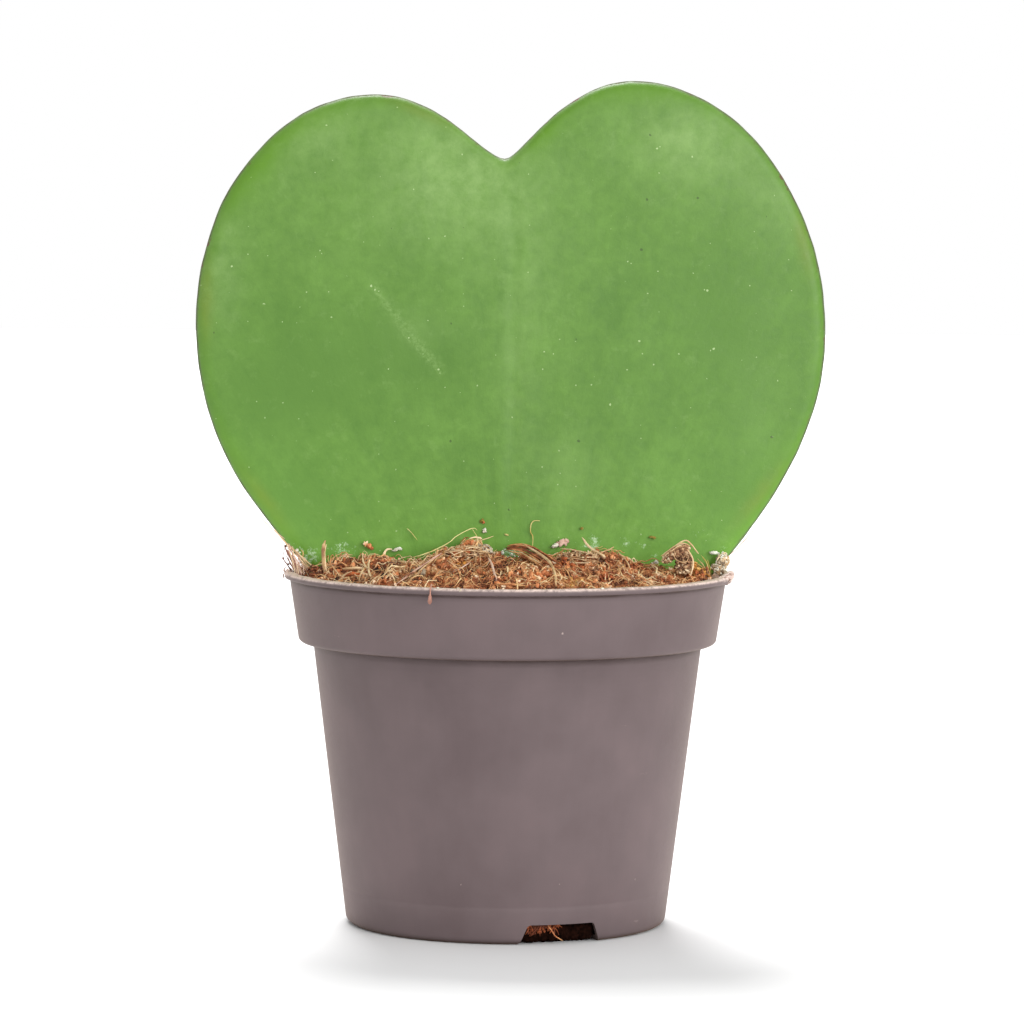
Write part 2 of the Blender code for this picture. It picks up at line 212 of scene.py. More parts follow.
def inMillimetres(tree, stretch=(1, 1, 1)):
    place = addNode(tree, "TexCoord").outputs["Object"]
    scale = tuple(part / mm for part in stretch)
    return addNode(tree, "Mapping", {"Vector": place, "Scale": scale}).outputs["Vector"]


def grain(tree, place, size, detail=4.0, roughness=0.55, distortion=0.0):
    # cloudy noise; size is the width of its patches in the units of place
    made = addNode(tree, "TexNoise", {"Vector": place, "Scale": 1.0 / size, "Detail": detail,
                                      "Roughness": roughness, "Distortion": distortion})
    return made.outputs["Fac"]


def stretchTo(tree, value, low, high, toLow=0.0, toHigh=1.0):
    made = addNode(tree, "MapRange", {"Value": value, "From Min": low, "From Max": high,
                                      "To Min": toLow, "To Max": toHigh})
    return made.outputs["Result"]


def maths(tree, operation, a, b=0.0, clamp=False):
    made = addNode(tree, "Math", operation=operation, use_clamp=clamp)
    plug(tree, made.inputs[0], a)
    plug(tree, made.inputs[1], b)
    return made.outputs["Value"]


def times(tree, a, b, clamp=False):
    return maths(tree, "MULTIPLY", a, b, clamp)


def blend(tree, amount, a, b, way="MIX"):
    made = addNode(tree, "Mix", data_type="RGBA", blend_type=way, clamp_factor=True)
    plug(tree, made.inputs[0], amount)
    plug(tree, made.inputs[6], a)
    plug(tree, made.inputs[7], b)
    return made.outputs[2]


def coat(tree, under, over, amount, share=None):
    # lays one colour over another, by an amount that share can weaken
    if share is not None:
        amount = times(tree, amount, share)
    return blend(tree, amount, under, over)


def painted(tree, name):
    return addNode(tree, "Attribute", attribute_name=name).outputs["Fac"]


def colourRun(tree, value, stops):
    made = addNode(tree, "ValToRGB", {"Fac": value})
    run = made.color_ramp
    while len(run.elements) < len(stops):
        run.elements.new(0.5)
    for element, (place, colour) in zip(run.elements, stops):
        element.position = place
        element.color = colour
    return made.outputs["Color"]


def warped(tree, place, size, amount):
    # pushes a place about by noise, so that what is drawn there has ragged edges
    push = addNode(tree, "TexNoise", {"Vector": place, "Scale": 1.0 / size, "Detail": 3.0}).outputs["Color"]
    push = addNode(tree, "VectorMath", {0: push, 1: (0.5, 0.5, 0.5)}, operation="SUBTRACT").outputs["Vector"]
    push = addNode(tree, "VectorMath", {0: push, "Scale": amount * 2}, operation="SCALE").outputs["Vector"]
    return addNode(tree, "VectorMath", {0: place, 1: push}, operation="ADD").outputs["Vector"]


def specks(tree, place, spacing, radius, share):
    # small dots in a flat layer, one chance per cell; share is how many cells have one
    made = addNode(tree, "TexVoronoi", {"Vector": place, "Scale": 1.0 / spacing}, voronoi_dimensions="2D")
    chance = addNode(tree, "SeparateColor", {"Color": made.outputs["Color"]})
    size = times(tree, chance.outputs["Green"], radius / spacing)
    inside = maths(tree, "LESS_THAN", made.outputs["Distance"], size)
    return times(tree, inside, maths(tree, "LESS_THAN", chance.outputs["Red"], share))


def roughen(tree, shader, height, depth, strength=1.0, under=None):
    inputs = {"Height": height, "Distance": depth, "Strength": strength}
    if under is not None:
        inputs["Normal"] = under
    made = addNode(tree, "Bump", inputs)
    plug(tree, shader.inputs["Normal"], made.outputs["Normal"])
    return made.outputs["Normal"]


# the nursery pot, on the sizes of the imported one
pot = {
    "seed": 5,
    "wall": 0.7 * mm,
    "footRadius": 21.50 * mm,       # wall carried straight down to the ground
    "lean": 0.1228,
    "collarBase": 37.9 * mm,
    "collarLow": 28.06 * mm,
    "collarTop": 29.35 * mm,
    "collarCorner": 0.7 * mm,
    "lipDepth": 0.9 * mm,
    "lipCorner": 0.36 * mm,
    "footCorner": 1.1 * mm,
    "floorLift": 2.9 * mm,
    "footRing": 17.0 * mm,
    "floorSlope": 1.6 * mm,
    "sides": 256,
    "notchAngles": (-70, 50, 170),  # degrees from +X
    "notchHeight": 2.65 * mm,
    "notchTop": 9.2 * mm,
    "notchFoot": 11.2 * mm,
    "notchInner": 18.4 * mm,
    "lipWander": 0.08 * mm,
    "lipRipple": 0.04 * mm,
    "nicks": 18,
    "nickWidth": (0.006, 0.02),     # radians
    "nickDepth": (0.05, 0.2),       # mm
    # curled flakes of plastic on the lip: degrees, half width in degrees, rise, droop, outward
    "burrs": ((-8, 8, 0.30 * mm, 0.35 * mm, 0.05 * mm), (184, 5, 0.22 * mm, 0.15 * mm, 0.02 * mm)),
    # shreds of plastic curling off the lip: width in mm, then knots from the axis and above the rim, in mm
    "shreds": ((0.34, ((27.9, -8.6, -0.05), (28.9, -7.0, 0.35), (29.6, -5.0, 0.55), (30.0, -3.0, 0.30),
                       (30.0, -2.4, -0.35), (29.7, -3.4, -0.95), (29.2, -5.2, -1.15))),
               (0.20, ((28.4, -8.0, 0.05), (29.2, -6.4, 0.10), (29.7, -5.2, -0.45), (29.3, -6.6, -0.85))),
               (0.16, ((-29.9, -2.6, -0.2), (-30.0, -2.4, 0.35), (-29.6, -3.4, 0.75))),
               (0.12, ((-29.4, -5.0, 0.0), (-29.6, -4.4, 0.45), (-29.2, -5.6, 0.55))),
               (0.13, ((-29.8, -3.6, -0.1), (-30.2, -2.2, -0.5), (-30.0, -3.0, -0.9)))),
    "taupe": paint(92, 80, 81),
    "taupeDark": paint(87, 75, 76),
    "taupePale": paint(97, 84, 85),
    # pale for scuffs, dust grains and bare plastic, and for the painted highlight on the lip
    "wornAndHighlight": paint(204, 184, 174),
    # dark brown for soil and for painted shade in the creases
    "grimeAndShade": paint(52, 38, 34),
    "paintedLightLow": 0.45,              # how much paler the wall is painted low down, as painted light
    "paintedLightRise": 13 * mm,
    "paintedShadeLow": 0.42,               # and how much darker again at the ground, as painted shade
    "paintedShadeRise": 3.4 * mm,
    "footShade": 0.14,              # how much darker still on the right, as painted shade
    "scuffs": 0.30,
    "dustGrains": 0.4,
    "roughness": (0.48, 0.56),
}


def wallRadius(z):
    return pot["footRadius"] + pot["lean"] * z


def collarRadius(z):
    share = (z - pot["collarBase"]) / (rim - pot["lipDepth"] - pot["collarBase"])
    return pot["collarLow"] + (pot["collarTop"] - pot["collarLow"]) * share


def roundedCorners(corners, steps):
    # (radius from axis, height, rounding) corners become a line with arcs
    points = []
    for i, (a, b, rounding) in enumerate(corners):
        here = Vector((a, b))
        if rounding == 0:
            points.append(here)
            continue
        before = (Vector(corners[i - 1][:2]) - here).normalized()
        after = (Vector(corners[(i + 1) % len(corners)][:2]) - here).normalized()
        half = before.angle(after) / 2
        reach = rounding / math.tan(half)
        centre = here + (before + after).normalized() * (rounding / math.sin(half))
        start = here + before * reach - centre
        turn = start.angle_signed(here + after * reach - centre)
        for k in range(steps + 1):
            points.append(centre + Matrix.Rotation(-turn * k / steps, 2) @ start)
    return points


def onWall(z, out=0.0):
    return (wallRadius(z) + out, z, 0)


def onCollar(z, out=0.0):
    return (collarRadius(z) + out, z, 0)


def potProfile():
    # from the middle of the floor's underside, up the outside, over the lip and down the inside
    wall, base = pot["wall"], pot["collarBase"]
    shelf = base + wall
    lipBase = rim - pot["lipDepth"]
    ringTop = pot["footRing"] + wall
    corners = [(0.0, pot["floorLift"], 0), (pot["footRing"] - pot["floorSlope"], pot["floorLift"], 0)]
    corners += [(pot["footRing"], 0.0, 0), (wallRadius(0.0), 0.0, pot["footCorner"])]
    # a faint line left by the mould goes round at 5 mm
    corners += [onWall(4.2 * mm), onWall(4.75 * mm), onWall(4.95 * mm, -0.05 * mm), onWall(5.15 * mm)]
    corners += [onWall(z) for z in (14 * mm, 26 * mm, base - 1.1 * mm, base - 0.5 * mm, base - 0.2 * mm)]
    corners += [onWall(base, 0.05 * mm), (pot["collarLow"], base, pot["collarCorner"])]
    corners += [onCollar(z) for z in (42 * mm, lipBase - 0.9 * mm, lipBase - 0.45 * mm)]
    corners += [onCollar(lipBase - 0.2 * mm, -0.03 * mm), (pot["collarTop"] + 0.02 * mm, lipBase, 0)]
    corners += [(lipRadius, lipBase + 0.05 * mm, pot["lipCorner"]), (lipRadius, rim, pot["lipCorner"])]
    corners += [(pot["collarTop"] - wall, rim, 0.2 * mm), onCollar(shelf, -wall), onWall(shelf, -wall)]
    corners += [(wallRadius(wall) - wall, wall, pot["footCorner"] - wall), (ringTop, wall, 0)]
    corners += [(ringTop - pot["floorSlope"], pot["floorLift"] + wall, 0), (0.0, pot["floorLift"] + wall, 0)]
    return roundedCorners(corners, 6)


def notchTool(degrees):
    below = -1 * mm
    beyond = wallRadius(0.0) + 3 * mm
    halfTop = pot["notchTop"] / 2
    halfFoot = pot["notchFoot"] / 2
    halfFoot += (halfFoot - halfTop) * -below / pot["notchHeight"]
    section = roundedCorners([(-halfFoot, below, 0), (halfFoot, below, 0),
                              (halfTop, pot["notchHeight"], 0.6 * mm),
                              (-halfTop, pot["notchHeight"], 0.6 * mm)], 5)
    bm = bmesh.new()
    face = bm.faces.new([bm.verts.new((pot["notchInner"], u, z)) for u, z in section])
    grown = bmesh.ops.extrude_face_region(bm, geom=[face])
    moved = [part for part in grown["geom"] if isinstance(part, bmesh.types.BMVert)]
    bmesh.ops.translate(bm, verts=moved, vec=(beyond - pot["notchInner"], 0, 0))
    turn = Matrix.Rotation(math.radians(degrees), 3, "Z")
    bmesh.ops.rotate(bm, verts=bm.verts, cent=(0, 0, 0), matrix=turn)
    bmesh.ops.recalc_face_normals(bm, faces=bm.faces)
    mesh = bpy.data.meshes.new("notchTool")
    bm.to_mesh(mesh)
    bm.free()
    return bpy.data.objects.new("notchTool", mesh)


def spinProfile(profile, sides):
    # ends of the profile are on the axis
    bm = bmesh.new()
    rings = []
    for radius, z in profile:
        if radius < 1e-7:
            rings.append([bm.verts.new((0, 0, z))] * sides)
            continue
        ring = []
        for k in range(sides):
            turn = 2 * math.pi * k / sides
            ring.append(bm.verts.new((radius * math.cos(turn), radius * math.sin(turn), z)))
        rings.append(ring)
    for low, high in zip(rings, rings[1:]):
        for k in range(sides):
            j = (k + 1) % sides
            corners = [low[k], low[j], high[j], high[k]]
            bm.faces.new(list(dict.fromkeys(corners)))
    return bm


def cutAway(mesh, tools):
    # takes the tools' shapes out of a mesh and returns the new one
    group = bpy.data.collections.new("tools")
    bpy.context.scene.collection.children.link(group)
    for tool in tools:
        group.objects.link(tool)
    body = bpy.data.objects.new("body", mesh)
    bpy.context.scene.collection.objects.link(body)
    cut = body.modifiers.new("cut", "BOOLEAN")
    cut.operation = "DIFFERENCE"
    cut.operand_type = "COLLECTION"
    cut.collection = group
    cut.solver = "EXACT"
    graph = bpy.context.evaluated_depsgraph_get()
    made = bpy.data.meshes.new_from_object(body.evaluated_get(graph))
    for thing in [body] + tools:
        bpy.data.objects.remove(thing)
    bpy.data.collections.remove(group)
    return made


def lipMarks(draw):
    marks = []
    for _ in range(pot["nicks"]):
        place = draw.uniform(0, 2 * math.pi)
        marks.append((place, draw.uniform(*pot["nickWidth"]), draw.uniform(*pot["nickDepth"]) * mm))
    return marks


def wearLip(bm, marks):
    # the lip is never quite level or round, and has nicks and torn burrs
    lipBase = rim - pot["lipDepth"]
    for vert in bm.verts:
        height = easeIn(lipBase - 0.4 * mm, rim, vert.co.z)
        if height <= 0:
            continue
        turn = math.atan2(vert.co.y, vert.co.x)
        around = Vector((math.cos(turn), math.sin(turn), 0.0))
        lower = vert.co.z < lipBase + 0.5 * mm
        drop = pot["lipWander"] * noise.noise(around * 5.0)
        drop += pot["lipRipple"] * noise.noise(around * 14.0)
        outer = easeIn(28.4 * mm, 29.4 * mm, vert.co.xy.length)
        for place, width, depth in marks:
            drop -= depth * bell(turnBetween(turn, place), width) * outer
        vert.co.z += drop * height
        for degrees, width, rise, droop, out in pot["burrs"]:
            near = bell(turnBetween(turn, math.radians(degrees)), math.radians(width))
            near *= easeIn(29.2 * mm, 29.7 * mm, vert.co.xy.length)
            ragged = 0.7 + 0.9 * noise.noise(around * 45.0 + Vector((0, 0, 3.0 if lower else 8.0)))
            vert.co.z += near * ragged * (-droop if lower else rise)
            vert.co += around * (out * near * ragged)
        vert.co -= around * (pot["lipWander"] * noise.noise(around * 24.0 + Vector((9, 0, 0))) * height)


def paintPotWearAndLight(mesh):
    # how scraped and dirty the plastic is at each point, with a painted highlight on the lip, painted shade
    # in the creases and at the foot, and painted light and shade low down
    lipBase = rim - pot["lipDepth"]
    base, low = pot["collarBase"], pot["collarLow"]
    wearAndHighlight, grimeAndShade, lift = [], [], []
    for vert in mesh.vertices:
        radius, z = vert.co.xy.length, vert.co.z
        turn = math.atan2(vert.co.y, vert.co.x)
        torn = 0
        for degrees, width, *_ in pot["burrs"]:
            torn += bell(turnBetween(turn, math.radians(degrees)), math.radians(width))
        # painted highlight along the lip's top, paler toward its left and right ends, over the real wear and
        # burrs
        outer = easeIn(28.9 * mm, 29.5 * mm, radius)
        top = easeIn(rim - 0.42 * mm, rim - 0.06 * mm, z)
        ends = easeIn(14 * mm, 28 * mm, abs(vert.co.x))
        bareAndLit = top * (0.55 + 0.45 * outer + 0.6 * ends)
        wearAndHighlight.append(min(1.4, bareAndLit + 0.8 * torn * outer * easeIn(lipBase, rim, z)))
        # painted shade in the creases under the lip and the collar, stronger on the right, and soil with a
        # painted contact shadow at the foot
        underLip = bell(z - lipBase + 0.12 * mm, 0.26 * mm)
        underLip *= easeIn(29.9 * mm, 29.5 * mm, radius)
        underLip *= easeIn(28.9 * mm, 29.1 * mm, radius)
        underCollar = easeIn(base - 1.6 * mm, base + 0.1 * mm, z) ** 1.4
        underCollar *= easeIn(low - 0.1 * mm, low - 0.6 * mm, radius) * (z < base + 0.1 * mm)
        underCollar *= 0.85 + 0.25 * vert.co.x / lipRadius
        foot = easeIn(0.65 * mm, 0.05 * mm, z) * easeIn(17 * mm, 18 * mm, radius)
        grimeAndShade.append(min(1.0, underLip + underCollar + foot))
        # painted light makes the wall paler low down; painted shade makes it darker at the ground and on the
        # right, all carried in lift
        paintedLight = math.exp(-max(0.0, z) / pot["paintedLightRise"])
        paintedShade = math.exp(-max(0.0, z) / pot["paintedShadeRise"])
        shaded = pot["footShade"] * vert.co.x / lipRadius * paintedLight
        lift.append(1 + pot["paintedLightLow"] * paintedLight - pot["paintedShadeLow"] * paintedShade - shaded)
    paintOn(mesh, "wearAndHighlight", wearAndHighlight)
    paintOn(mesh, "grimeAndShade", grimeAndShade)
    paintOn(mesh, "lift", lift)


def makePot():
    bm = spinProfile(potProfile(), pot["sides"])
    wearLip(bm, lipMarks(random.Random(pot["seed"])))
    bmesh.ops.recalc_face_normals(bm, faces=bm.faces)
    mesh = bpy.data.meshes.new("potShell")
    bm.to_mesh(mesh)
    bm.free()
    mesh = cutAway(mesh, [notchTool(angle) for angle in pot["notchAngles"]])
    mesh.name = "potShell"
    paintPotWearAndLight(mesh)
    mesh.materials.clear()
    plastic = potMaterial()
    settle("potShell", mesh, plastic, "nursery_pot")
    mesh.set_sharp_from_angle(angle=math.radians(34))
    makeShreds(plastic)


def makeShreds(plastic):
    heap = newHeap()
    for width, knots in pot["shreds"]:
        path = smoothPath([Vector((x * mm, y * mm, rim + up * mm)) for x, y, up in knots], 7)
        last = len(path) - 1
        radii = []
        for i, spot in enumerate(path):
            ends = 0.35 + 0.65 * min(1.0, 3 * min(i, last - i) / last)
            radii.append(width * mm * ends * (1 + 0.7 * noise.noise(spot / (0.35 * mm))))
            spot += 0.12 * mm * noise.noise_vector(spot / (0.5 * mm))
        addStrand(heap, path, radii, 8, 0.0, 0.35)
    piece = heapToPiece(heap, "lipShreds", plastic, "nursery_pot")
    for name, value in (("wearAndHighlight", 1.5), ("grimeAndShade", 0.0), ("lift", 1.0)):
        paintOn(piece.data, name, [value] * len(piece.data.vertices))


def potMaterial():
    material, tree, shader = newMaterial("potPlastic", Roughness=0.5, Specular_IOR_Level=0.16,
                                         Sheen_Weight=0.10, Sheen_Roughness=0.4,
                                         Sheen_Tint=(1.0, 0.55, 0.25, 1))
    place = inMillimetres(tree)
    tall = inMillimetres(tree, (1, 1, 0.12))         # drawn out up the wall
    flat = inMillimetres(tree, (0.25, 0.25, 1.6))    # and round it
    cloud = grain(tree, place, 11.0, 3.0)
    fine = grain(tree, place, 0.55, 5.0, 0.7)
    streak = grain(tree, tall, 1.7, 4.0, 0.6)
    tint = times(tree, cloud, 0.80)
    for part, amount in ((streak, 0.12), (fine, 0.08)):
        tint = maths(tree, "ADD", tint, times(tree, part, amount))
    stops = [(0.34, pot["taupeDark"]), (0.5, pot["taupe"]), (0.66, pot["taupePale"])]
    colour = colourRun(tree, tint, stops)
    # painted light and shade: the wall paler low down, darker at the ground and on the right
    colour = blend(tree, 1.0, colour, painted(tree, "lift"), "MULTIPLY")
    # scuffs: short pale rubs that lie round the pot
    rub = stretchTo(tree, grain(tree, flat, 1.2, 6.0, 0.75), 0.69, 0.76)
    rub = times(tree, rub, stretchTo(tree, grain(tree, place, 7.0, 2.0), 0.5, 0.62))
    colour = coat(tree, colour, pot["wornAndHighlight"], rub, pot["scuffs"])
    # dust grains stuck to the wall
    loose = warped(tree, place, 0.5, 0.35)
    spread = addNode(tree, "TexVoronoi", {"Vector": loose, "Scale": 1 / 3.4})
    chance = addNode(tree, "SeparateColor", {"Color": spread.outputs["Color"]})
    size = times(tree, chance.outputs["Green"], 0.05)
    dot = maths(tree, "LESS_THAN", spread.outputs["Distance"], size)
    dot = times(tree, dot, maths(tree, "LESS_THAN", chance.outputs["Red"], 0.3))
    colour = coat(tree, colour, pot["wornAndHighlight"], dot, pot["dustGrains"])
    # painted shade in the creases under the lip and the collar, darker to the right, and soil with a painted
    # contact shadow along the foot
    patchy = stretchTo(tree, grain(tree, flat, 0.9, 5.0, 0.7), 0.30, 0.62, 0.55, 1.0)
    colour = coat(tree, colour, pot["grimeAndShade"], painted(tree, "grimeAndShade"), patchy)
    # pale edge of the lip: bare worn plastic with a painted highlight along its top and toward its ends
    scraped = stretchTo(tree, grain(tree, place, 0.7, 6.0, 0.78), 0.34, 0.56, 0.20, 1.0)
    wornAndHighlight = times(tree, painted(tree, "wearAndHighlight"), scraped, clamp=True)
    colour = coat(tree, colour, pot["wornAndHighlight"], wornAndHighlight)
    plug(tree, shader.inputs["Base Color"], colour)
    plug(tree, shader.inputs["Roughness"], stretchTo(tree, fine, 0.3, 0.7, *pot["roughness"]))
    skin = roughen(tree, shader, grain(tree, place, 0.35, 3.0, 0.6), 0.02 * mm, 0.3)
    roughen(tree, shader, grain(tree, flat, 2.2, 3.0), 0.04 * mm, 0.25, skin)
    return material


# the heart leaf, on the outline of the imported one
leaf = {
    # outline from the notch clockwise: (across, up), handle back, handle forward, in mm
    "knots": (((-0.8, 102.7), (-2.7, 0), (2.2, 0)),
              ((16.5, 113.3), (-9.7, 0), (13.9, 0)),
              ((42.6, 79.0), (0, 18.9), (0, -10.6)),
              ((33.4, 54.3), (3.9, 5.7), (-6.8, -9.9)),
              ((0.3, 20.6), (9.5, 7.4), (-9.5, 7.4)),
              ((-33.0, 54.6), (7.5, -9.4), (-3.9, 5.0)),
              ((-42.3, 80.7), (0, -12.9), (0, 17.6)),
              ((-18.4, 111.3), (-12.3, 0), (9.2, 0))),
    "span": 84.9 * mm,              # width that those knots make
    "centre": (-0.4 * mm, 72.6 * mm),
    "thickness": 2.7 * mm,
    "margin": 1.7 * mm,
    "lobeSweep": 1.8 * mm,
    "tipSweep": 2.6 * mm,
    "knotMiddle": 0.15 * mm,        # how far right of the axis their middle lies
    "edgeWander": 0.11 * mm,
    "edgeRipple": 0.05 * mm,
    "swell": 0.20 * mm,             # height of the soft hills of its skin
    "ripple": 0.06 * mm,
    "groove": 0.10 * mm,            # depth of the midrib in front, and its rise behind
    "keel": 0.28 * mm,
    "around": 440,
    "insets": (0.05, 0.12, 0.2, 0.3, 0.45, 0.65, 0.9, 1.25, 1.7, 2.3, 3.0),    # mm
    "rings": 52,
    "green": paint(77, 114, 40),
    "greenDeep": paint(69, 106, 35),
    "greenPale": paint(86, 124, 47),
    # pale waxy haze, also used as painted sheen of soft reflected light on the face
    "waxAndSheen": paint(123, 153, 89),
    # saturated green painted where light glows through the thin margins
    "paintedGlow": paint(76, 118, 16),
    "olive": paint(98, 106, 30),
    "under": paint(112, 142, 84),
    "marginLine": paint(62, 66, 36),
    "marginNick": paint(84, 44, 36),
    "dust": paint(198, 222, 188),
    "speck": paint(176, 196, 144),
    "dot": paint(40, 50, 24),
    "paintedLightBase": 0.68,               # how much paler the blade is painted where it meets the coir, as painted light against the shade there
    "baseStart": 49 * mm,
    "baseRise": 9 * mm,
    "dustRise": 1.4 * mm,
    "waxRubs": 0.25,
    "scrape": ((-19.2, 86.6), (-8.4, 73.2), 1.7),      # from, to and width, in mm
    "scratch": ((-14.6, 79.6), (-9.6, 74.2), 0.32),
    "fleckSize": 0.75,
    "flecks": 0.55,
    "dullEdge": 0.9,
    "veinFoot": 16 * mm,            # height that the fine veins fan out from
}
# soft areas of the face, by kind: x and height above the ground, half sizes, all in mm, then tilt in
# degrees and amount
leafAreas = {
    # pale waxy haze painted as soft sheen of reflected light
    "waxAndSheen": (
        (-7, 101, 10, 9, 0, 0.50), (-27, 107, 7, 4.5, 22, 0.36), (24, 105, 9, 6, 0, 0.40),
        (36, 97, 4, 7, 30, 0.22), (2, 88, 6, 14, 0, 0.16), (1.5, 72, 2.6, 14, 0, 0.13),
        (-39, 89, 3.5, 9, 0, 0.28), (8, 61, 5, 6, 0, 0.15), (20, 92, 12, 9, 0, 0.03),
        (-12, 80, 4, 3, 0, 0.20), (34, 73, 4, 9, 0, 0.05), (-24, 96, 13, 11, 0, 0.09),
    ),
    "deep": (
        # darker patches: partly the leaf's own mottling, partly painted shade that evens out the light
        # across the face
        (-26, 75, 12, 7, 0, 0.75), (-14, 78, 8, 6, 0, 0.40), (-29, 56, 8, 4.5, 0, 0.95),
        (31, 57, 7, 5, 0, 0.70), (31, 76, 9, 14, 0, 0.45), (26, 88, 8, 8, 0, 0.30),
        (-31, 69, 9, 7, 0, 0.45), (28, 79, 5, 5, 0, 0.25), (14, 73, 5, 4, 0, 0.25),
        (-9, 74, 5, 6, 0, 0.25),
    ),
    # painted glow where light shines through the margins
    "paintedGlow": (
        (-34.5, 102, 2.8, 11, -42, 0.80), (-24, 110, 7, 2.6, 20, 0.45), (4.5, 107, 2.4, 4.8, -40, 0.85),
        (17, 112, 12, 1.8, 0, 0.60), (40, 90, 1.8, 10, 12, 0.12), (36, 62, 2.2, 8, -38, 0.25),
        (-37, 63, 2.2, 7, 38, 0.20),
    ),
    "olive": (
        (-41, 84, 1.0, 5, 0, 0.6), (39.5, 92, 0.9, 4, 12, 0.6), (-33, 57, 0.9, 5, 38, 0.4),
        (34, 58, 1.0, 5, -38, 0.4), (-12, 109, 5, 0.8, -22, 0.5),
    ),
    "powder": (
        (-22, 50.3, 2.8, 1.3, 0, 1.0), (-27, 48.8, 1.6, 0.8, 0, 0.9), (-28.4, 50.4, 1.0, 0.8, 0, 0.9),
        (-10, 50.6, 3.0, 0.7, 0, 0.5), (2, 50.2, 3.6, 1.0, 0, 0.8), (11.6, 51.6, 1.0, 1.5, 20, 1.15),
        (10.4, 50.9, 1.8, 0.5, 0, 1.0), (15.6, 51.4, 1.1, 1.8, 0, 0.85),
        (18.4, 50.9, 1.7, 0.9, -20, 0.85), (20, 49.6, 1.2, 0.5, 15, 0.8), (0.9, 49.6, 0.9, 0.5, 0, 1.0),
        (0.2, 49.8, 1.7, 0.9, 0, 1.1), (-26.4, 49.6, 1.2, 1.6, 0, 0.8), (25.5, 52.8, 2.4, 1.0, 0, 0.8),
        (29, 50.4, 1.2, 1.4, 0, 0.8),
    ),
}
# pale flecks of dust that catch the eye: x, height above the ground, radius, in mm
leafMarks = (
    (-25.5, 90.3, 0.15), (-25.3, 89.9, 0.10), (-18.4, 94.9, 0.09), (-37.4, 88.1, 0.16), (-33.1, 83.1, 0.13),
    (-27.3, 84.7, 0.10), (-24.3, 84.8, 0.11), (-16.2, 74.5, 0.12), (-18.6, 85.6, 0.22), (-18.1, 85.1, 0.14),
    (-17.6, 84.9, 0.10), (-9.5, 74.5, 0.15), (-9.3, 74.0, 0.10), (-13.5, 78.7, 0.12), (-11.6, 76.6, 0.10),
    (15.8, 89.1, 0.13), (16.2, 88.9, 0.09), (26.5, 85.3, 0.20), (26.1, 85.4, 0.12), (18.5, 84.9, 0.13),
    (17.4, 78.5, 0.18), (22.7, 76.8, 0.13), (27.4, 77.5, 0.18), (27.0, 77.3, 0.12), (19.6, 104.3, 0.16),
    (20.0, 104.5, 0.10), (32.2, 86.0, 0.12), (36.1, 73.3, 0.12), (5.9, 76.7, 0.13), (-33.9, 70.0, 0.12),
)
leafScale = leafHalf * 2 / leaf["span"]       # 1 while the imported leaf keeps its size
leafTop = max(knot[0][1] for knot in leaf["knots"]) * mm


def leafOutline():
    rough = []
    knots = leaf["knots"]
    for i, (knot, _, forward) in enumerate(knots):
        after, back, _ = knots[(i + 1) % len(knots)]
        a, b = Vector(knot) * mm, Vector(after) * mm
        rough += list(interpolate_bezier(a, a + Vector(forward) * mm, b + Vector(back) * mm, b, 121)[:-1])
    rough.append(rough[0].copy())
    lengths = [0.0]
    for a, b in zip(rough, rough[1:]):
        lengths.append(lengths[-1] + (b - a).length)
    points, i = [], 0
    for k in range(leaf["around"]):
        want = lengths[-1] * k / leaf["around"]
        while lengths[i + 1] < want:
            i += 1
        points.append(rough[i].lerp(rough[i + 1], (want - lengths[i]) / (lengths[i + 1] - lengths[i])))
    wandered = []
    for k, point in enumerate(points):
        along = (points[(k + 1) % len(points)] - points[k - 1]).normalized()
        spot = Vector((point.x / (7 * mm), point.y / (7 * mm), 3.3))
        out = leaf["edgeWander"] * noise.noise(spot) + leaf["edgeRipple"] * noise.noise(spot * 3.7)
        wandered.append(point + Vector((-along.y, along.x)) * out)
    return [Vector((leafMiddle + (p.x - leaf["knotMiddle"]) * leafScale, p.y)) for p in wandered]


def leafSweep(x, z):
    # how far the leaf's middle lies behind the upright plane through the pot's axis
    up = max(0.0, (z - rim) / (leafTop - rim))
    return leaf["lobeSweep"] * (x / (42.6 * mm)) ** 2 + leaf["tipSweep"] * up * up


def leafRelief(x, z, face):
    spot = Vector((x / (15 * mm), z / (17 * mm), 2.0 * face))
    swell = leaf["swell"] * noise.noise(spot) + leaf["ripple"] * noise.noise(spot * 3.1)
    rib = 0.5 * mm + 0.6 * mm * noise.noise(Vector((0, z / (20 * mm), 4)))
    fall = easeIn(101 * mm, 92 * mm, z)
    line = bell(x - rib, 1.0 * mm) - 0.45 * bell(x - rib, 2.6 * mm)
    return swell + (leaf["groove"] if face < 0 else -leaf["keel"]) * line * fall


def leafFront(x, z):
    return leafSweep(x, z) - leaf["thickness"] / 2


def areaAmount(kind, x, z):
    total = 0.0
    for midX, midZ, wide, tall, tilt, amount in leafAreas[kind]:
        turn = math.radians(tilt)
        dx, dz = x / mm - midX, z / mm - midZ
        u = (dx * math.cos(turn) + dz * math.sin(turn)) / wide
        v = (dz * math.cos(turn) - dx * math.sin(turn)) / tall
        total += amount * math.exp(-(u * u + v * v))
    return min(1.0, total)


def soilLine(x):
    return mixTop(x, leafFront(x, rim) - 0.5 * mm)


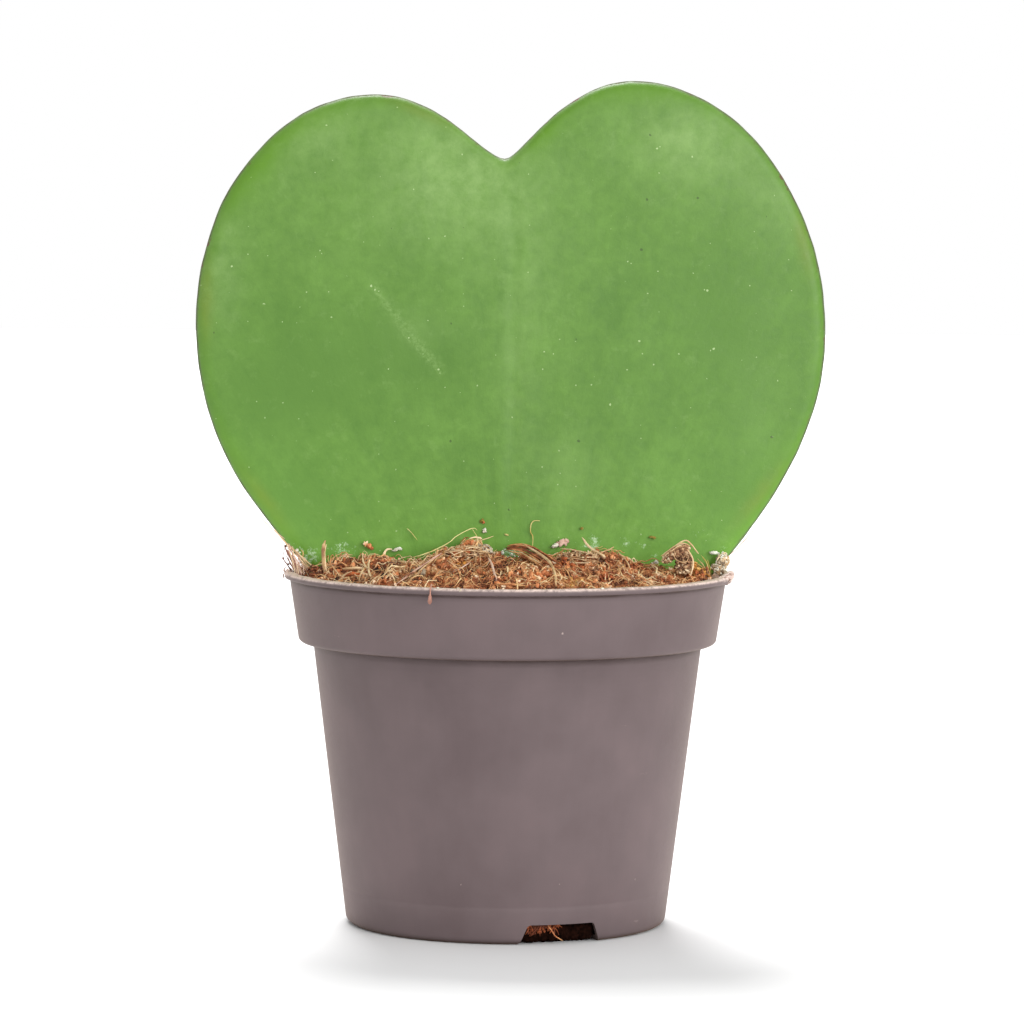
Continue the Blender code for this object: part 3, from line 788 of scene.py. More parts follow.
def bladeShape():
    # rows of points run from the edge to the middle, in front and then behind
    outline = leafOutline()
    centre = Vector(leaf["centre"])
    half = leaf["thickness"] / 2
    count = len(outline)
    rows = [("inset", inset * mm) for inset in leaf["insets"]]
    rows += [("share", 1 - (i + 1) / leaf["rings"]) for i in range(leaf["rings"] - 1)]
    points, faces, inset, side = [], [], [], []

    def addRow(face, kind, value):
        start = len(points)
        for edge in outline:
            ray = edge - centre
            deepest = leaf["insets"][-1] * mm
            if kind == "inset":
                into = value
            else:
                into = deepest + (ray.length - deepest) * (1 - value)
            spot = edge - ray.normalized() * into
            depth = min(1.0, into / leaf["margin"])
            thick = half * math.sqrt(max(0.0, 1.0 - (1.0 - depth) ** 2))
            calm = easeIn(0.0, 4 * mm, into)
            y = leafSweep(spot.x, spot.y) + face * thick + leafRelief(spot.x, spot.y, face) * calm
            points.append(Vector((spot.x, y, spot.y)))
            inset.append(into / mm)
            side.append(face)
        return start

    edgeRow = addRow(0, "inset", 0.0)
    for face in (-1, 1):
        before = edgeRow
        for kind, value in rows:
            row = addRow(face, kind, value)
            for k in range(count):
                j = (k + 1) % count
                corners = (before + k, before + j, row + j, row + k)
                faces.append(corners if face < 0 else corners[::-1])
            before = row
        hub = len(points)
        y = leafSweep(centre.x, centre.y) + face * half + leafRelief(centre.x, centre.y, face)
        points.append(Vector((centre.x, y, centre.y)))
        inset.append(40.0)
        side.append(face)
        for k in range(count):
            corners = (before + k, before + (k + 1) % count, hub)
            faces.append(corners if face < 0 else corners[::-1])
    return points, faces, inset, side


def paintLeaf(mesh, points, inset, side):
    paintOn(mesh, "inset", inset)
    paintOn(mesh, "underside", [max(0.0, face) for face in side])
    for kind in leafAreas:
        paintOn(mesh, kind, [areaAmount(kind, p.x, p.z) for p in points])
    dust, blush, lift = [], [], []
    for p in points:
        above = max(0.0, p.z - soilLine(p.x))
        patch = 0.45 + 0.9 * noise.noise(Vector((p.x / (5 * mm), 0, 7)))
        dust.append(max(0.0, patch) * math.exp(-above / leaf["dustRise"]))
        blush.append(0.55 + 0.45 * easeIn(60 * mm, 100 * mm, p.z) + 0.3 * noise.noise(p / (9 * mm)))
        # painted light: the blade is paler near the coir, against the shade it lies in there
        low = math.exp(-max(0.0, p.z - leaf["baseStart"]) / leaf["baseRise"])
        lift.append(1 + leaf["paintedLightBase"] * low)
    paintOn(mesh, "dust", dust)
    paintOn(mesh, "blush", blush)
    paintOn(mesh, "lift", lift)
    # the turn and the distance from the foot of the leaf, for veins that fan out
    foot = Vector((0, leaf["veinFoot"]))
    fan = mesh.attributes.new("fan", "FLOAT_VECTOR", "POINT")
    flow = []
    for p in points:
        ray = Vector((p.x, p.z)) - foot
        flow += [math.atan2(ray.x, ray.y) * 55, ray.length / mm * 0.16, p.y / mm * 0.5]
    fan.data.foreach_set("vector", flow)


def makeLeaf():
    points, faces, inset, side = bladeShape()
    mesh = bpy.data.meshes.new("leafBlade")
    mesh.from_pydata(points, [], faces)
    bm = bmesh.new()
    bm.from_mesh(mesh)
    bmesh.ops.recalc_face_normals(bm, faces=bm.faces)
    bm.to_mesh(mesh)
    bm.free()
    paintLeaf(mesh, points, inset, side)
    return settle("leafBlade", mesh, leafMaterial(), "heart_leaf")


def streakMark(tree, place, start, end, width):
    # a soft line across the face, from and to given in mm
    ahead = Vector(end) - Vector(start)
    turn = math.atan2(ahead.y, ahead.x)
    local = addNode(tree, "Mapping", {"Vector": place, "Location": (*start, 0), "Rotation": (0, 0, turn)},
                    vector_type="TEXTURE").outputs["Vector"]
    turned = addNode(tree, "SeparateXYZ", {"Vector": local})
    along = turned.outputs["X"]
    mark = stretchTo(tree, maths(tree, "ABSOLUTE", turned.outputs["Y"]), width, 0.0)
    mark = times(tree, mark, stretchTo(tree, along, 0.0, width))
    return times(tree, mark, stretchTo(tree, along, ahead.length, ahead.length - width))


def leafMaterial():
    material, tree, shader = newMaterial("leafSkin", Roughness=0.46, Specular_IOR_Level=0.32)
    place = inMillimetres(tree)
    face = addNode(tree, "SeparateXYZ", {"Vector": place})
    flat = addNode(tree, "CombineXYZ", {"X": face.outputs["X"], "Y": face.outputs["Z"]}).outputs["Vector"]
    fan = addNode(tree, "Attribute", attribute_name="fan").outputs["Vector"]
    broad = grain(tree, place, 9.0, 3.0, 0.5)
    mottle = grain(tree, place, 1.5, 6.0, 0.62, 0.2)
    fine = grain(tree, place, 0.42, 4.0, 0.7)
    vein = grain(tree, fan, 1.3, 5.0, 0.62, 0.1)
    wide = grain(tree, fan, 4.6, 3.0, 0.5, 0.1)
    tone = times(tree, broad, 0.30)
    for part, amount in ((mottle, 0.36), (fine, 0.08), (vein, 0.14), (wide, 0.12)):
        tone = maths(tree, "ADD", tone, times(tree, part, amount))
    stops = [(0.40, leaf["greenDeep"]), (0.505, leaf["green"]), (0.63, leaf["greenPale"])]
    colour = colourRun(tree, tone, stops)
    # painted sheen of soft reflected light over the upper face, with a waxy haze
    cloudy = stretchTo(tree, grain(tree, place, 2.6, 6.0, 0.68, 0.1), 0.30, 0.70, 0.35, 1.5)
    colour = coat(tree, colour, leaf["waxAndSheen"], painted(tree, "waxAndSheen"), cloudy)
    # darker patches, partly the leaf's own mottling and partly painted shade
    deep = times(tree, painted(tree, "deep"), stretchTo(tree, mottle, 0.3, 0.7, 0.6, 1.1))
    colour = coat(tree, colour, leaf["greenDeep"], deep, 0.8)
    ragged = stretchTo(tree, grain(tree, place, 2.0, 5.0, 0.6, 0.2), 0.3, 0.7, 0.55, 1.2)
    # painted glow of light through the margins
    colour = coat(tree, colour, leaf["paintedGlow"], painted(tree, "paintedGlow"), ragged)
    colour = coat(tree, colour, leaf["olive"], painted(tree, "olive"), ragged)
    # a thin richer band just inside the edge: painted glow of light through the thin margin
    inside = painted(tree, "inset")
    band = stretchTo(tree, inside, 2.4, 0.5)
    colour = coat(tree, colour, leaf["paintedGlow"], band, times(tree, ragged, 0.45))
    # pale wax rubs, a long scrape and dust
    wax = stretchTo(tree, grain(tree, place, 2.4, 7.0, 0.74, 0.2), 0.56, 0.78)
    colour = coat(tree, colour, leaf["waxAndSheen"], wax, leaf["waxRubs"])
    scrape = streakMark(tree, warped(tree, flat, 1.0, 1.1), *leaf["scrape"])
    scrape = times(tree, times(tree, scrape, scrape), 0.8)
    scratch = streakMark(tree, warped(tree, flat, 0.8, 0.3), *leaf["scratch"])
    scrape = maths(tree, "MAXIMUM", scrape, times(tree, scratch, 0.7))
    gritty = stretchTo(tree, grain(tree, flat, 0.7, 6.0, 0.78), 0.40, 0.66, 0.0, 0.8)
    colour = coat(tree, colour, leaf["waxAndSheen"], scrape, gritty)
    crumbly = grain(tree, place, 0.60, 6.0, 0.85)
    powder = maths(tree, "MAXIMUM", painted(tree, "dust"), painted(tree, "powder"))
    powder = stretchTo(tree, maths(tree, "ADD", times(tree, powder, 0.30), crumbly), 0.77, 0.86)
    # painted light near the coir, from the lift attribute
    colour = blend(tree, 1.0, colour, painted(tree, "lift"), "MULTIPLY")
    colour = coat(tree, colour, leaf["dust"], powder, 0.7)
    torn = warped(tree, flat, 0.35, 0.14)
    pale = maths(tree, "MAXIMUM", specks(tree, torn, 6.4, 0.14, 0.20), specks(tree, torn, 2.2, 0.10, 0.20))
    colour = coat(tree, colour, leaf["speck"], pale, 0.5)
    for x, z, radius in leafMarks:
        away = addNode(tree, "VectorMath", {0: torn, 1: (x, z, 0)}, operation="DISTANCE").outputs["Value"]
        fleck = maths(tree, "LESS_THAN", away, radius * leaf["fleckSize"])
        colour = coat(tree, colour, leaf["speck"], fleck, leaf["flecks"])
    dark = specks(tree, torn, 8.3, 0.20, 0.30)
    colour = coat(tree, colour, leaf["dot"], dark, 0.6)
    # the back is paler and duller
    colour = coat(tree, colour, leaf["under"], painted(tree, "underside"), 0.55)
    # dull line along the very edge, with a few brown nicks
    uneven = stretchTo(tree, grain(tree, place, 2.2, 4.0, 0.7), 0.30, 0.60, 0.45, 1.1)
    edge = times(tree, stretchTo(tree, inside, 0.42, 0.10), uneven, clamp=True)
    colour = coat(tree, colour, leaf["marginLine"], edge, leaf["dullEdge"])
    nick = stretchTo(tree, grain(tree, place, 1.6, 3.0, 0.6), 0.60, 0.68)
    nick = times(tree, nick, painted(tree, "blush"))
    colour = coat(tree, colour, leaf["marginNick"], nick, stretchTo(tree, inside, 0.55, 0.20))
    plug(tree, shader.inputs["Base Color"], colour)
    dull = stretchTo(tree, mottle, 0.3, 0.7, 0.42, 0.54)
    rough = maths(tree, "MAXIMUM", dull, times(tree, edge, leaf["dullEdge"]))
    plug(tree, shader.inputs["Roughness"], rough)
    skin = roughen(tree, shader, fine, 0.04 * mm, 0.3)
    skin = roughen(tree, shader, mottle, 0.12 * mm, 0.4, skin)
    roughen(tree, shader, vein, 0.10 * mm, 0.3, skin)
    return material


# the leaf's stalk and roots, down in the coir
stalk = {
    "seed": 8,
    "across": 0.3 * mm,
    "top": 26.8 * mm,
    "end": 11.8 * mm,
    "radii": (1.8 * mm, 1.4 * mm),
    "roots": 5,
    "reach": 10.5 * mm,
    "drop": 4.2 * mm,
    "bow": 1.8 * mm,
    "rootRadii": (0.62 * mm, 0.40 * mm),
    "pale": paint(196, 172, 128),
    "brown": paint(128, 98, 62),
}


def taper(ends, count):
    first, final = ends
    return [first + (final - first) * i / (count - 1) for i in range(count)]


def makeStalk():
    draw = random.Random(stalk["seed"])
    heap = newHeap()
    x, end = stalk["across"], stalk["end"]
    path = [Vector((x, 0, z)) for z in taper((stalk["top"], end), 13)]
    addStrand(heap, path, taper(stalk["radii"], 13), 20, 0.2)
    for i in range(stalk["roots"]):
        turn = 2 * math.pi * (i + 0.25) / stalk["roots"]
        out = Vector((math.cos(turn), math.sin(turn), 0))
        aside = Vector((-out.y, out.x, 0)) * stalk["bow"]
        reach = stalk["reach"] * (1.0 if i % 2 else 0.8)
        start = Vector((x, 0, end + 1.2 * mm + 0.6 * mm * (i % 3)))
        path = []
        for share in taper((0, 1), 17):
            drop = Vector((0, 0, -stalk["drop"] * share * share))
            path.append(start + out * (reach * share) + aside * math.sin(math.pi * share) + drop)
        addStrand(heap, path, taper(stalk["rootRadii"], 17), 10, draw.uniform(0.4, 1.0))
    material, tree, shader = newMaterial("rootSkin", Roughness=0.7)
    place = inMillimetres(tree)
    patch = maths(tree, "ADD", painted(tree, "tone"), grain(tree, place, 0.8, 5.0, 0.7))
    stops = [(0.2, stalk["pale"]), (0.8, stalk["brown"])]
    plug(tree, shader.inputs["Base Color"], colourRun(tree, times(tree, patch, 0.6), stops))
    roughen(tree, shader, grain(tree, place, 0.5), 0.1 * mm)
    return heapToPiece(heap, "leafStalkAndRoots", material, "heart_leaf")


# the coir: a mound with a bank against the leaf, and a crumbly skin
mix = {
    "gap": 0.3 * mm,
    "edgeDrop": 1.2 * mm,
    "mound": 2.4 * mm,
    "heaps": ((-8.0, 9.0, 1.8, 6.0), (9.0, 12.0, 1.2, 5.0)),   # x, y, rise, width in mm
    # height above the rim of the bank against the leaf's front, from left to right, in mm
    "bank": ((-30, -1.2), (-28, -0.9), (-26, 0.0), (-24, 1.3), (-21.5, 1.8), (-19.5, 1.8), (-17, 1.7),
             (-15, 1.3), (-13, 1.0), (-11.5, 1.2), (-10, 2.1), (-8.5, 2.8), (-7, 2.9), (-5.5, 3.7),
             (-4.2, 3.8), (-3, 2.9), (-1.8, 1.9), (0.5, 1.7), (2.5, 1.8), (4.5, 2.2), (6.5, 2.3),
             (9.5, 2.2), (12.5, 2.3), (14.5, 2.5), (15.8, 1.9), (17, 0.9), (19, 0.7), (21, 0.2),
             (23, 0.5), (25, 1.0), (26.5, 0.6), (28, -0.6), (30, -1.2)),
    "bankFront": -4.2 * mm,
    "bankSlope": 3.4 * mm,
    "bankBack": 6.0 * mm,
    "lumps": ((3.6 * mm, 0.7 * mm), (1.9 * mm, 0.75 * mm)),      # width, height
    "crumble": ((1.05 * mm, 0.60 * mm), (0.5 * mm, 0.24 * mm)),
    "leafDip": 0.5 * mm,            # how far the skin sinks under the leaf
    # the hollow behind the first drain notch: turn from it in degrees, half width, depth
    "pocket": (7, 3.2 * mm, 2.6 * mm),
    "sides": 240,
    "rings": 96,
    "seed": 21,
}
mixEdge = pot["collarTop"] - pot["wall"] - mix["gap"]


def bankHeight(x):
    steps = mix["bank"]
    for (a, low), (b, high) in zip(steps, steps[1:]):
        if x < b * mm:
            return rim + (low + (high - low) * easeIn(a * mm, b * mm, x)) * mm
    return rim + steps[-1][1] * mm


def mixTop(x, y):
    inward = max(0.0, 1.0 - (x * x + y * y) / (mixEdge * mixEdge))
    height = rim - mix["edgeDrop"] + mix["mound"] * inward ** 0.8
    if y < mix["bankFront"]:
        near = bell(y - mix["bankFront"], mix["bankSlope"])
    else:
        near = bell(max(0.0, y), mix["bankBack"])
    height += (bankHeight(x) - height) * near * easeIn(0.0, 0.12, inward)
    for heapX, heapY, rise, width in mix["heaps"]:
        away = ((x / mm - heapX) ** 2 + (y / mm - heapY) ** 2) / (width * width)
        height += rise * mm * math.exp(-away)
    for width, rise in mix["lumps"]:
        height += rise * noise.noise(Vector((x / width, y / width, rise / width)))
    return height


def mixSkin(x, y):
    height = mixTop(x, y)
    for width, rise in mix["crumble"]:
        height += rise * noise.noise(Vector((x / width, y / width, 3.0)))
    return height


def clearOfLeaf(spot, radius):
    return abs(spot.y - leafSweep(spot.x, spot.z)) > leaf["thickness"] / 2 + radius


def insidePot(spot, radius):
    return spot.xy.length < pot["collarTop"] - pot["wall"] - 0.1 * mm - radius


def overRim(x, y, up):
    # a place given in mm from the pot's axis and above its rim
    return Vector((x * mm, y * mm, rim + up * mm))


def makeMixBody():
    slack = pot["wall"] + mix["gap"]
    shelf = pot["collarBase"] + slack
    stepIn = pot["footRing"] + slack
    chamfer = pot["footCorner"] - pot["wall"] + mix["gap"]
    top = rim - mix["edgeDrop"]
    floor = pot["floorLift"] + slack
    heights = [z * mm for z in (1.7, 2.1, 2.5, 2.9, 3.4, 4.0, 5.0, 8.0, 14, 20, 26, 32)] + [shelf]
    profile = [(0.0, floor), (stepIn - pot["floorSlope"], floor), (stepIn, slack)]
    profile.append((wallRadius(slack) - slack - chamfer, slack))
    profile += [(wallRadius(z) - slack, z) for z in heights]
    profile += [(collarRadius(z) - slack, z) for z in (shelf, 42 * mm)]
    profile += [(mixEdge * (1 - i / mix["rings"]), top) for i in range(mix["rings"] + 1)]
    bm = spinProfile(profile, mix["sides"])
    degrees, pocketWidth, pocketDepth = mix["pocket"]
    pocket = math.radians(pot["notchAngles"][0] + degrees)
    for vert in bm.verts:
        radius = vert.co.xy.length
        if abs(vert.co.z - top) < 1e-6:
            x, y = vert.co.xy
            vert.co.z = mixSkin(x, y) if radius < mixEdge - 0.2 * mm else mixTop(x, y)
            if abs(y - leafSweep(x, vert.co.z)) < leaf["thickness"] / 2:
                vert.co.z -= mix["leafDip"]
        elif radius > stepIn and vert.co.z < 6 * mm:
            # the side that shows in the drain notches is crumbly, and hollow behind one of them
            out = Vector((vert.co.x, vert.co.y, 0)).normalized()
            into = 0.5 * mm * abs(noise.noise(vert.co / (1.1 * mm)))
            into += 0.25 * mm * abs(noise.noise(vert.co / (0.5 * mm)))
            away = (math.atan2(vert.co.y, vert.co.x) - pocket) * radius
            into += pocketDepth * bell(away, pocketWidth) * easeIn(4 * mm, 1.5 * mm, vert.co.z)
            vert.co -= out * min(into, radius - stepIn)
    bmesh.ops.recalc_face_normals(bm, faces=bm.faces)
    mesh = bpy.data.meshes.new("coirBody")
    bm.to_mesh(mesh)
    bm.free()
    paintOn(mesh, "tone", [0.40 + 0.4 * noise.noise(vert.co / (2.2 * mm)) for vert in mesh.vertices])
    return settle("coirBody", mesh, coirMaterial("coirSoil", "soil", 0.5), "potting_mix")


def shades(*stops):
    # each stop is its place from 0 to 1, then its colour
    return [(place, paint(*colour)) for place, *colour in stops]


coirColours = {
    "soil": shades((0.0, 14, 9, 7), (0.12, 50, 27, 16), (0.38, 104, 56, 32), (0.62, 152, 86, 50),
                   (0.95, 196, 130, 84)),
    "fibre": shades((0.0, 100, 56, 36), (0.25, 170, 100, 62), (0.50, 208, 147, 96), (0.75, 224, 182, 126),
                    (1.0, 242, 218, 172)),
    "crumb": shades((0.0, 90, 48, 28), (0.28, 162, 91, 54), (0.58, 206, 128, 80), (0.82, 228, 168, 116),
                    (1.0, 242, 214, 180)),
    "rust": shades((0.0, 104, 48, 24), (0.5, 182, 96, 50), (1.0, 222, 154, 98)),
    "gold": shades((0.0, 150, 92, 36), (0.5, 206, 142, 62), (1.0, 232, 190, 118)),
    "grit": shades((0.0, 120, 100, 80), (0.5, 188, 172, 146), (1.0, 232, 234, 218)),
    "straw": shades((0.0, 134, 96, 66), (0.5, 198, 160, 116), (1.0, 232, 206, 166)),
    "clod": shades((0.0, 88, 56, 40), (0.35, 142, 98, 68), (0.7, 184, 146, 108), (1.0, 224, 202, 168)),
    "moss": shades((0.0, 128, 112, 40), (0.5, 184, 160, 82), (1.0, 214, 204, 140)),
    "pink": shades((0.0, 96, 62, 54), (0.5, 176, 126, 108), (1.0, 220, 186, 166)),
}


def coirMaterial(name, kind, spread, roughness=0.7):
    # tone comes from the mesh, one number a strand or crumb, and noise breaks it up
    material, tree, shader = newMaterial(name, Roughness=roughness, Specular_IOR_Level=0.35)
    place = inMillimetres(tree)
    flecks = grain(tree, place, 0.28, 5.0, 0.7)
    clouds = grain(tree, place, 2.0, 3.0, 0.5)
    tone = painted(tree, "tone")
    for part, sway in ((flecks, spread / 2), (clouds, 0.40)):
        tone = maths(tree, "ADD", tone, stretchTo(tree, part, 0.25, 0.75, -sway, sway))
    plug(tree, shader.inputs["Base Color"], colourRun(tree, tone, coirColours[kind]))
    skin = roughen(tree, shader, flecks, 0.10 * mm, 0.6)
    roughen(tree, shader, grain(tree, place, 0.11, 3.0), 0.04 * mm, 0.4, skin)
    return material


def coirPiece(heap, name, material):
    return heapToPiece(heap, name, material, "potting_mix")


def anySpot(draw, reach):
    while True:
        x, y = draw.uniform(-reach, reach), draw.uniform(-reach, reach)
        if math.hypot(x, y) < reach:
            return x, y


# loose hairs and fibres scattered over the top, sizes in mm; arch is the rise of the middle, lift
# that of the tip, curl the turn in radians, and zone is left, right, front and back
strandKinds = {
    "coirHairFine": {
        "count": 1500, "length": (0.9, 3.0), "radius": (0.036, 0.075), "arch": (0.0, 0.6),
        "lift": (-0.2, 0.9), "curl": 3.0, "steps": 7, "sides": 3, "flat": 1.0, "tone": (0.05, 0.9),
    },
    "coirHairTan": {
        "count": 420, "length": (1.6, 4.6), "radius": (0.06, 0.11), "arch": (0.0, 0.9),
        "lift": (-0.2, 1.1), "curl": 1.7, "steps": 9, "sides": 4, "flat": 0.8, "tone": (0.3, 1.0),
    },
    "coirFibreThick": {
        "count": 230, "length": (1.8, 5.0), "radius": (0.10, 0.20), "arch": (0.0, 0.7),
        "lift": (-0.2, 0.7), "curl": 1.0, "steps": 9, "sides": 5, "flat": 0.6, "tone": (0.0, 0.85),
    },
    "coirHairRust": {
        "count": 1100, "length": (0.7, 2.4), "radius": (0.04, 0.08), "arch": (0.0, 0.7),
        "lift": (-0.1, 0.7), "curl": 4.0, "steps": 7, "sides": 3, "flat": 1.0, "tone": (0.1, 0.62),
        "zone": (-14.0, 26.0, -28.0, -2.0),
    },
    # straight pale fibres that cross one another on the left, and a golden tangle on the left heap
    "coirStrawLeft": {
        "count": 70, "length": (1.6, 4.2), "radius": (0.05, 0.10), "arch": (0.1, 0.9), "lift": (0.0, 1.3),
        "curl": 0.5, "steps": 8, "sides": 5, "flat": 0.8, "tone": (0.2, 0.95),
        "zone": (-24.5, -9.5, -19.0, -3.0),
    },
    "coirStrawGold": {
        "count": 42, "length": (1.4, 4.0), "radius": (0.05, 0.10), "arch": (0.1, 0.8), "lift": (0.0, 1.4),
        "curl": 0.6, "steps": 8, "sides": 5, "flat": 0.8, "tone": (0.2, 0.8),
        "zone": (-10.5, -3.0, -12.0, -3.0),
    },
    "coirStrawRight": {
        "count": 34, "length": (1.8, 4.2), "radius": (0.06, 0.10), "arch": (0.1, 0.8), "lift": (0.0, 0.9),
        "curl": 0.8, "steps": 8, "sides": 5, "flat": 0.8, "tone": (0.3, 0.95),
        "zone": (3.0, 22.0, -20.0, -4.0),
    },
}


def strandPath(draw, look):
    # one try at a hair lying on the mix, or None where it meets the leaf or the wall
    length = draw.uniform(*look["length"]) * mm
    x, y = anySpot(draw, mixEdge)
    if "zone" in look:
        left, right, front, back = look["zone"]
        x, y = draw.uniform(left, right) * mm, draw.uniform(front, back) * mm
    heading = draw.uniform(0, 2 * math.pi)
    bend = draw.uniform(-look["curl"], look["curl"])
    rise = draw.uniform(*look["arch"]) * mm
    tip = draw.uniform(*look["lift"]) * mm
    steps = look["steps"]
    step = length / (steps - 1)
    path = []
    for i in range(steps):
        share = i / (steps - 1)
        z = mixSkin(x, y) + rise * math.sin(math.pi * share) + tip * share * share
        spot = Vector((x, y, z))
        if not clearOfLeaf(spot, 0.1 * mm) or not insidePot(spot, 0.1 * mm):
            return None
        path.append(spot)
        turned = heading + bend * share + 0.8 * noise.noise(Vector((x, y, length)) / (0.9 * mm))
        x += math.cos(turned) * step
        y += math.sin(turned) * step
    return path


def scatterStrands(name, draw, look, material):
    heap = newHeap()
    left = look["count"]
    while left > 0:
        path = strandPath(draw, look)
        if path is None:
            continue
        thick = draw.uniform(*look["radius"]) * mm
        last = len(path) - 1
        radii = [thick * (1 - 0.55 * (i / last) ** 2) for i in range(last + 1)]
        addStrand(heap, path, radii, look["sides"], draw.uniform(*look["tone"]), look["flat"])
        left -= 1
    return coirPiece(heap, name, material)


# grains of pith: how many, half size range in mm, detail and roughness of each, and how flat
crumbKinds = {
    "coirPithFine": {"count": 5400, "size": (0.09, 0.24), "cuts": 1, "rough": 0.9, "flat": (0.5, 1.4)},
    "coirPithCoarse": {"count": 1400, "size": (0.18, 0.42), "cuts": 2, "rough": 1.0, "flat": (0.4, 1.2)},
    "coirChips": {"count": 240, "size": (0.3, 0.75), "cuts": 2, "rough": 0.9, "flat": (0.15, 0.5)},
}


def scatterCrumbs(name, draw, look, material):
    heap = newHeap()
    left = look["count"]
    while left > 0:
        x, y = anySpot(draw, mixEdge)
        small, large = look["size"]
        size = (small + (large - small) * draw.random() ** 2) * mm
        spot = Vector((x, y, mixSkin(x, y) + size * draw.uniform(-0.1, 0.8)))
        if not clearOfLeaf(spot, 0.8 * size) or not insidePot(spot, size):
            continue
        low, high = look["flat"]
        shape = (size, size * draw.uniform(low, high), size * draw.uniform(low, 0.5 + low))
        # neighbours share a shade, as broken husk does
        shade = 0.54 + 1.1 * noise.noise(Vector((x, y, 0.004)) / (1.9 * mm)) + draw.uniform(-0.20, 0.20)
        addLump(heap, draw, spot, shape, min(1.0, max(0.0, shade)), look["cuts"], look["rough"])
        left -= 1
    return coirPiece(heap, name, material)


def makeScatter(draw):
    fibre = coirMaterial("coirFibre", "fibre", 0.22)
    straw = coirMaterial("coirStraw", "straw", 0.22)
    for name, look in strandKinds.items():
        scatterStrands(name, draw, look, straw if "Straw" in name else fibre)
    pith = coirMaterial("coirPith", "crumb", 0.3)
    for name, look in crumbKinds.items():
        scatterCrumbs(name, draw, look, pith)


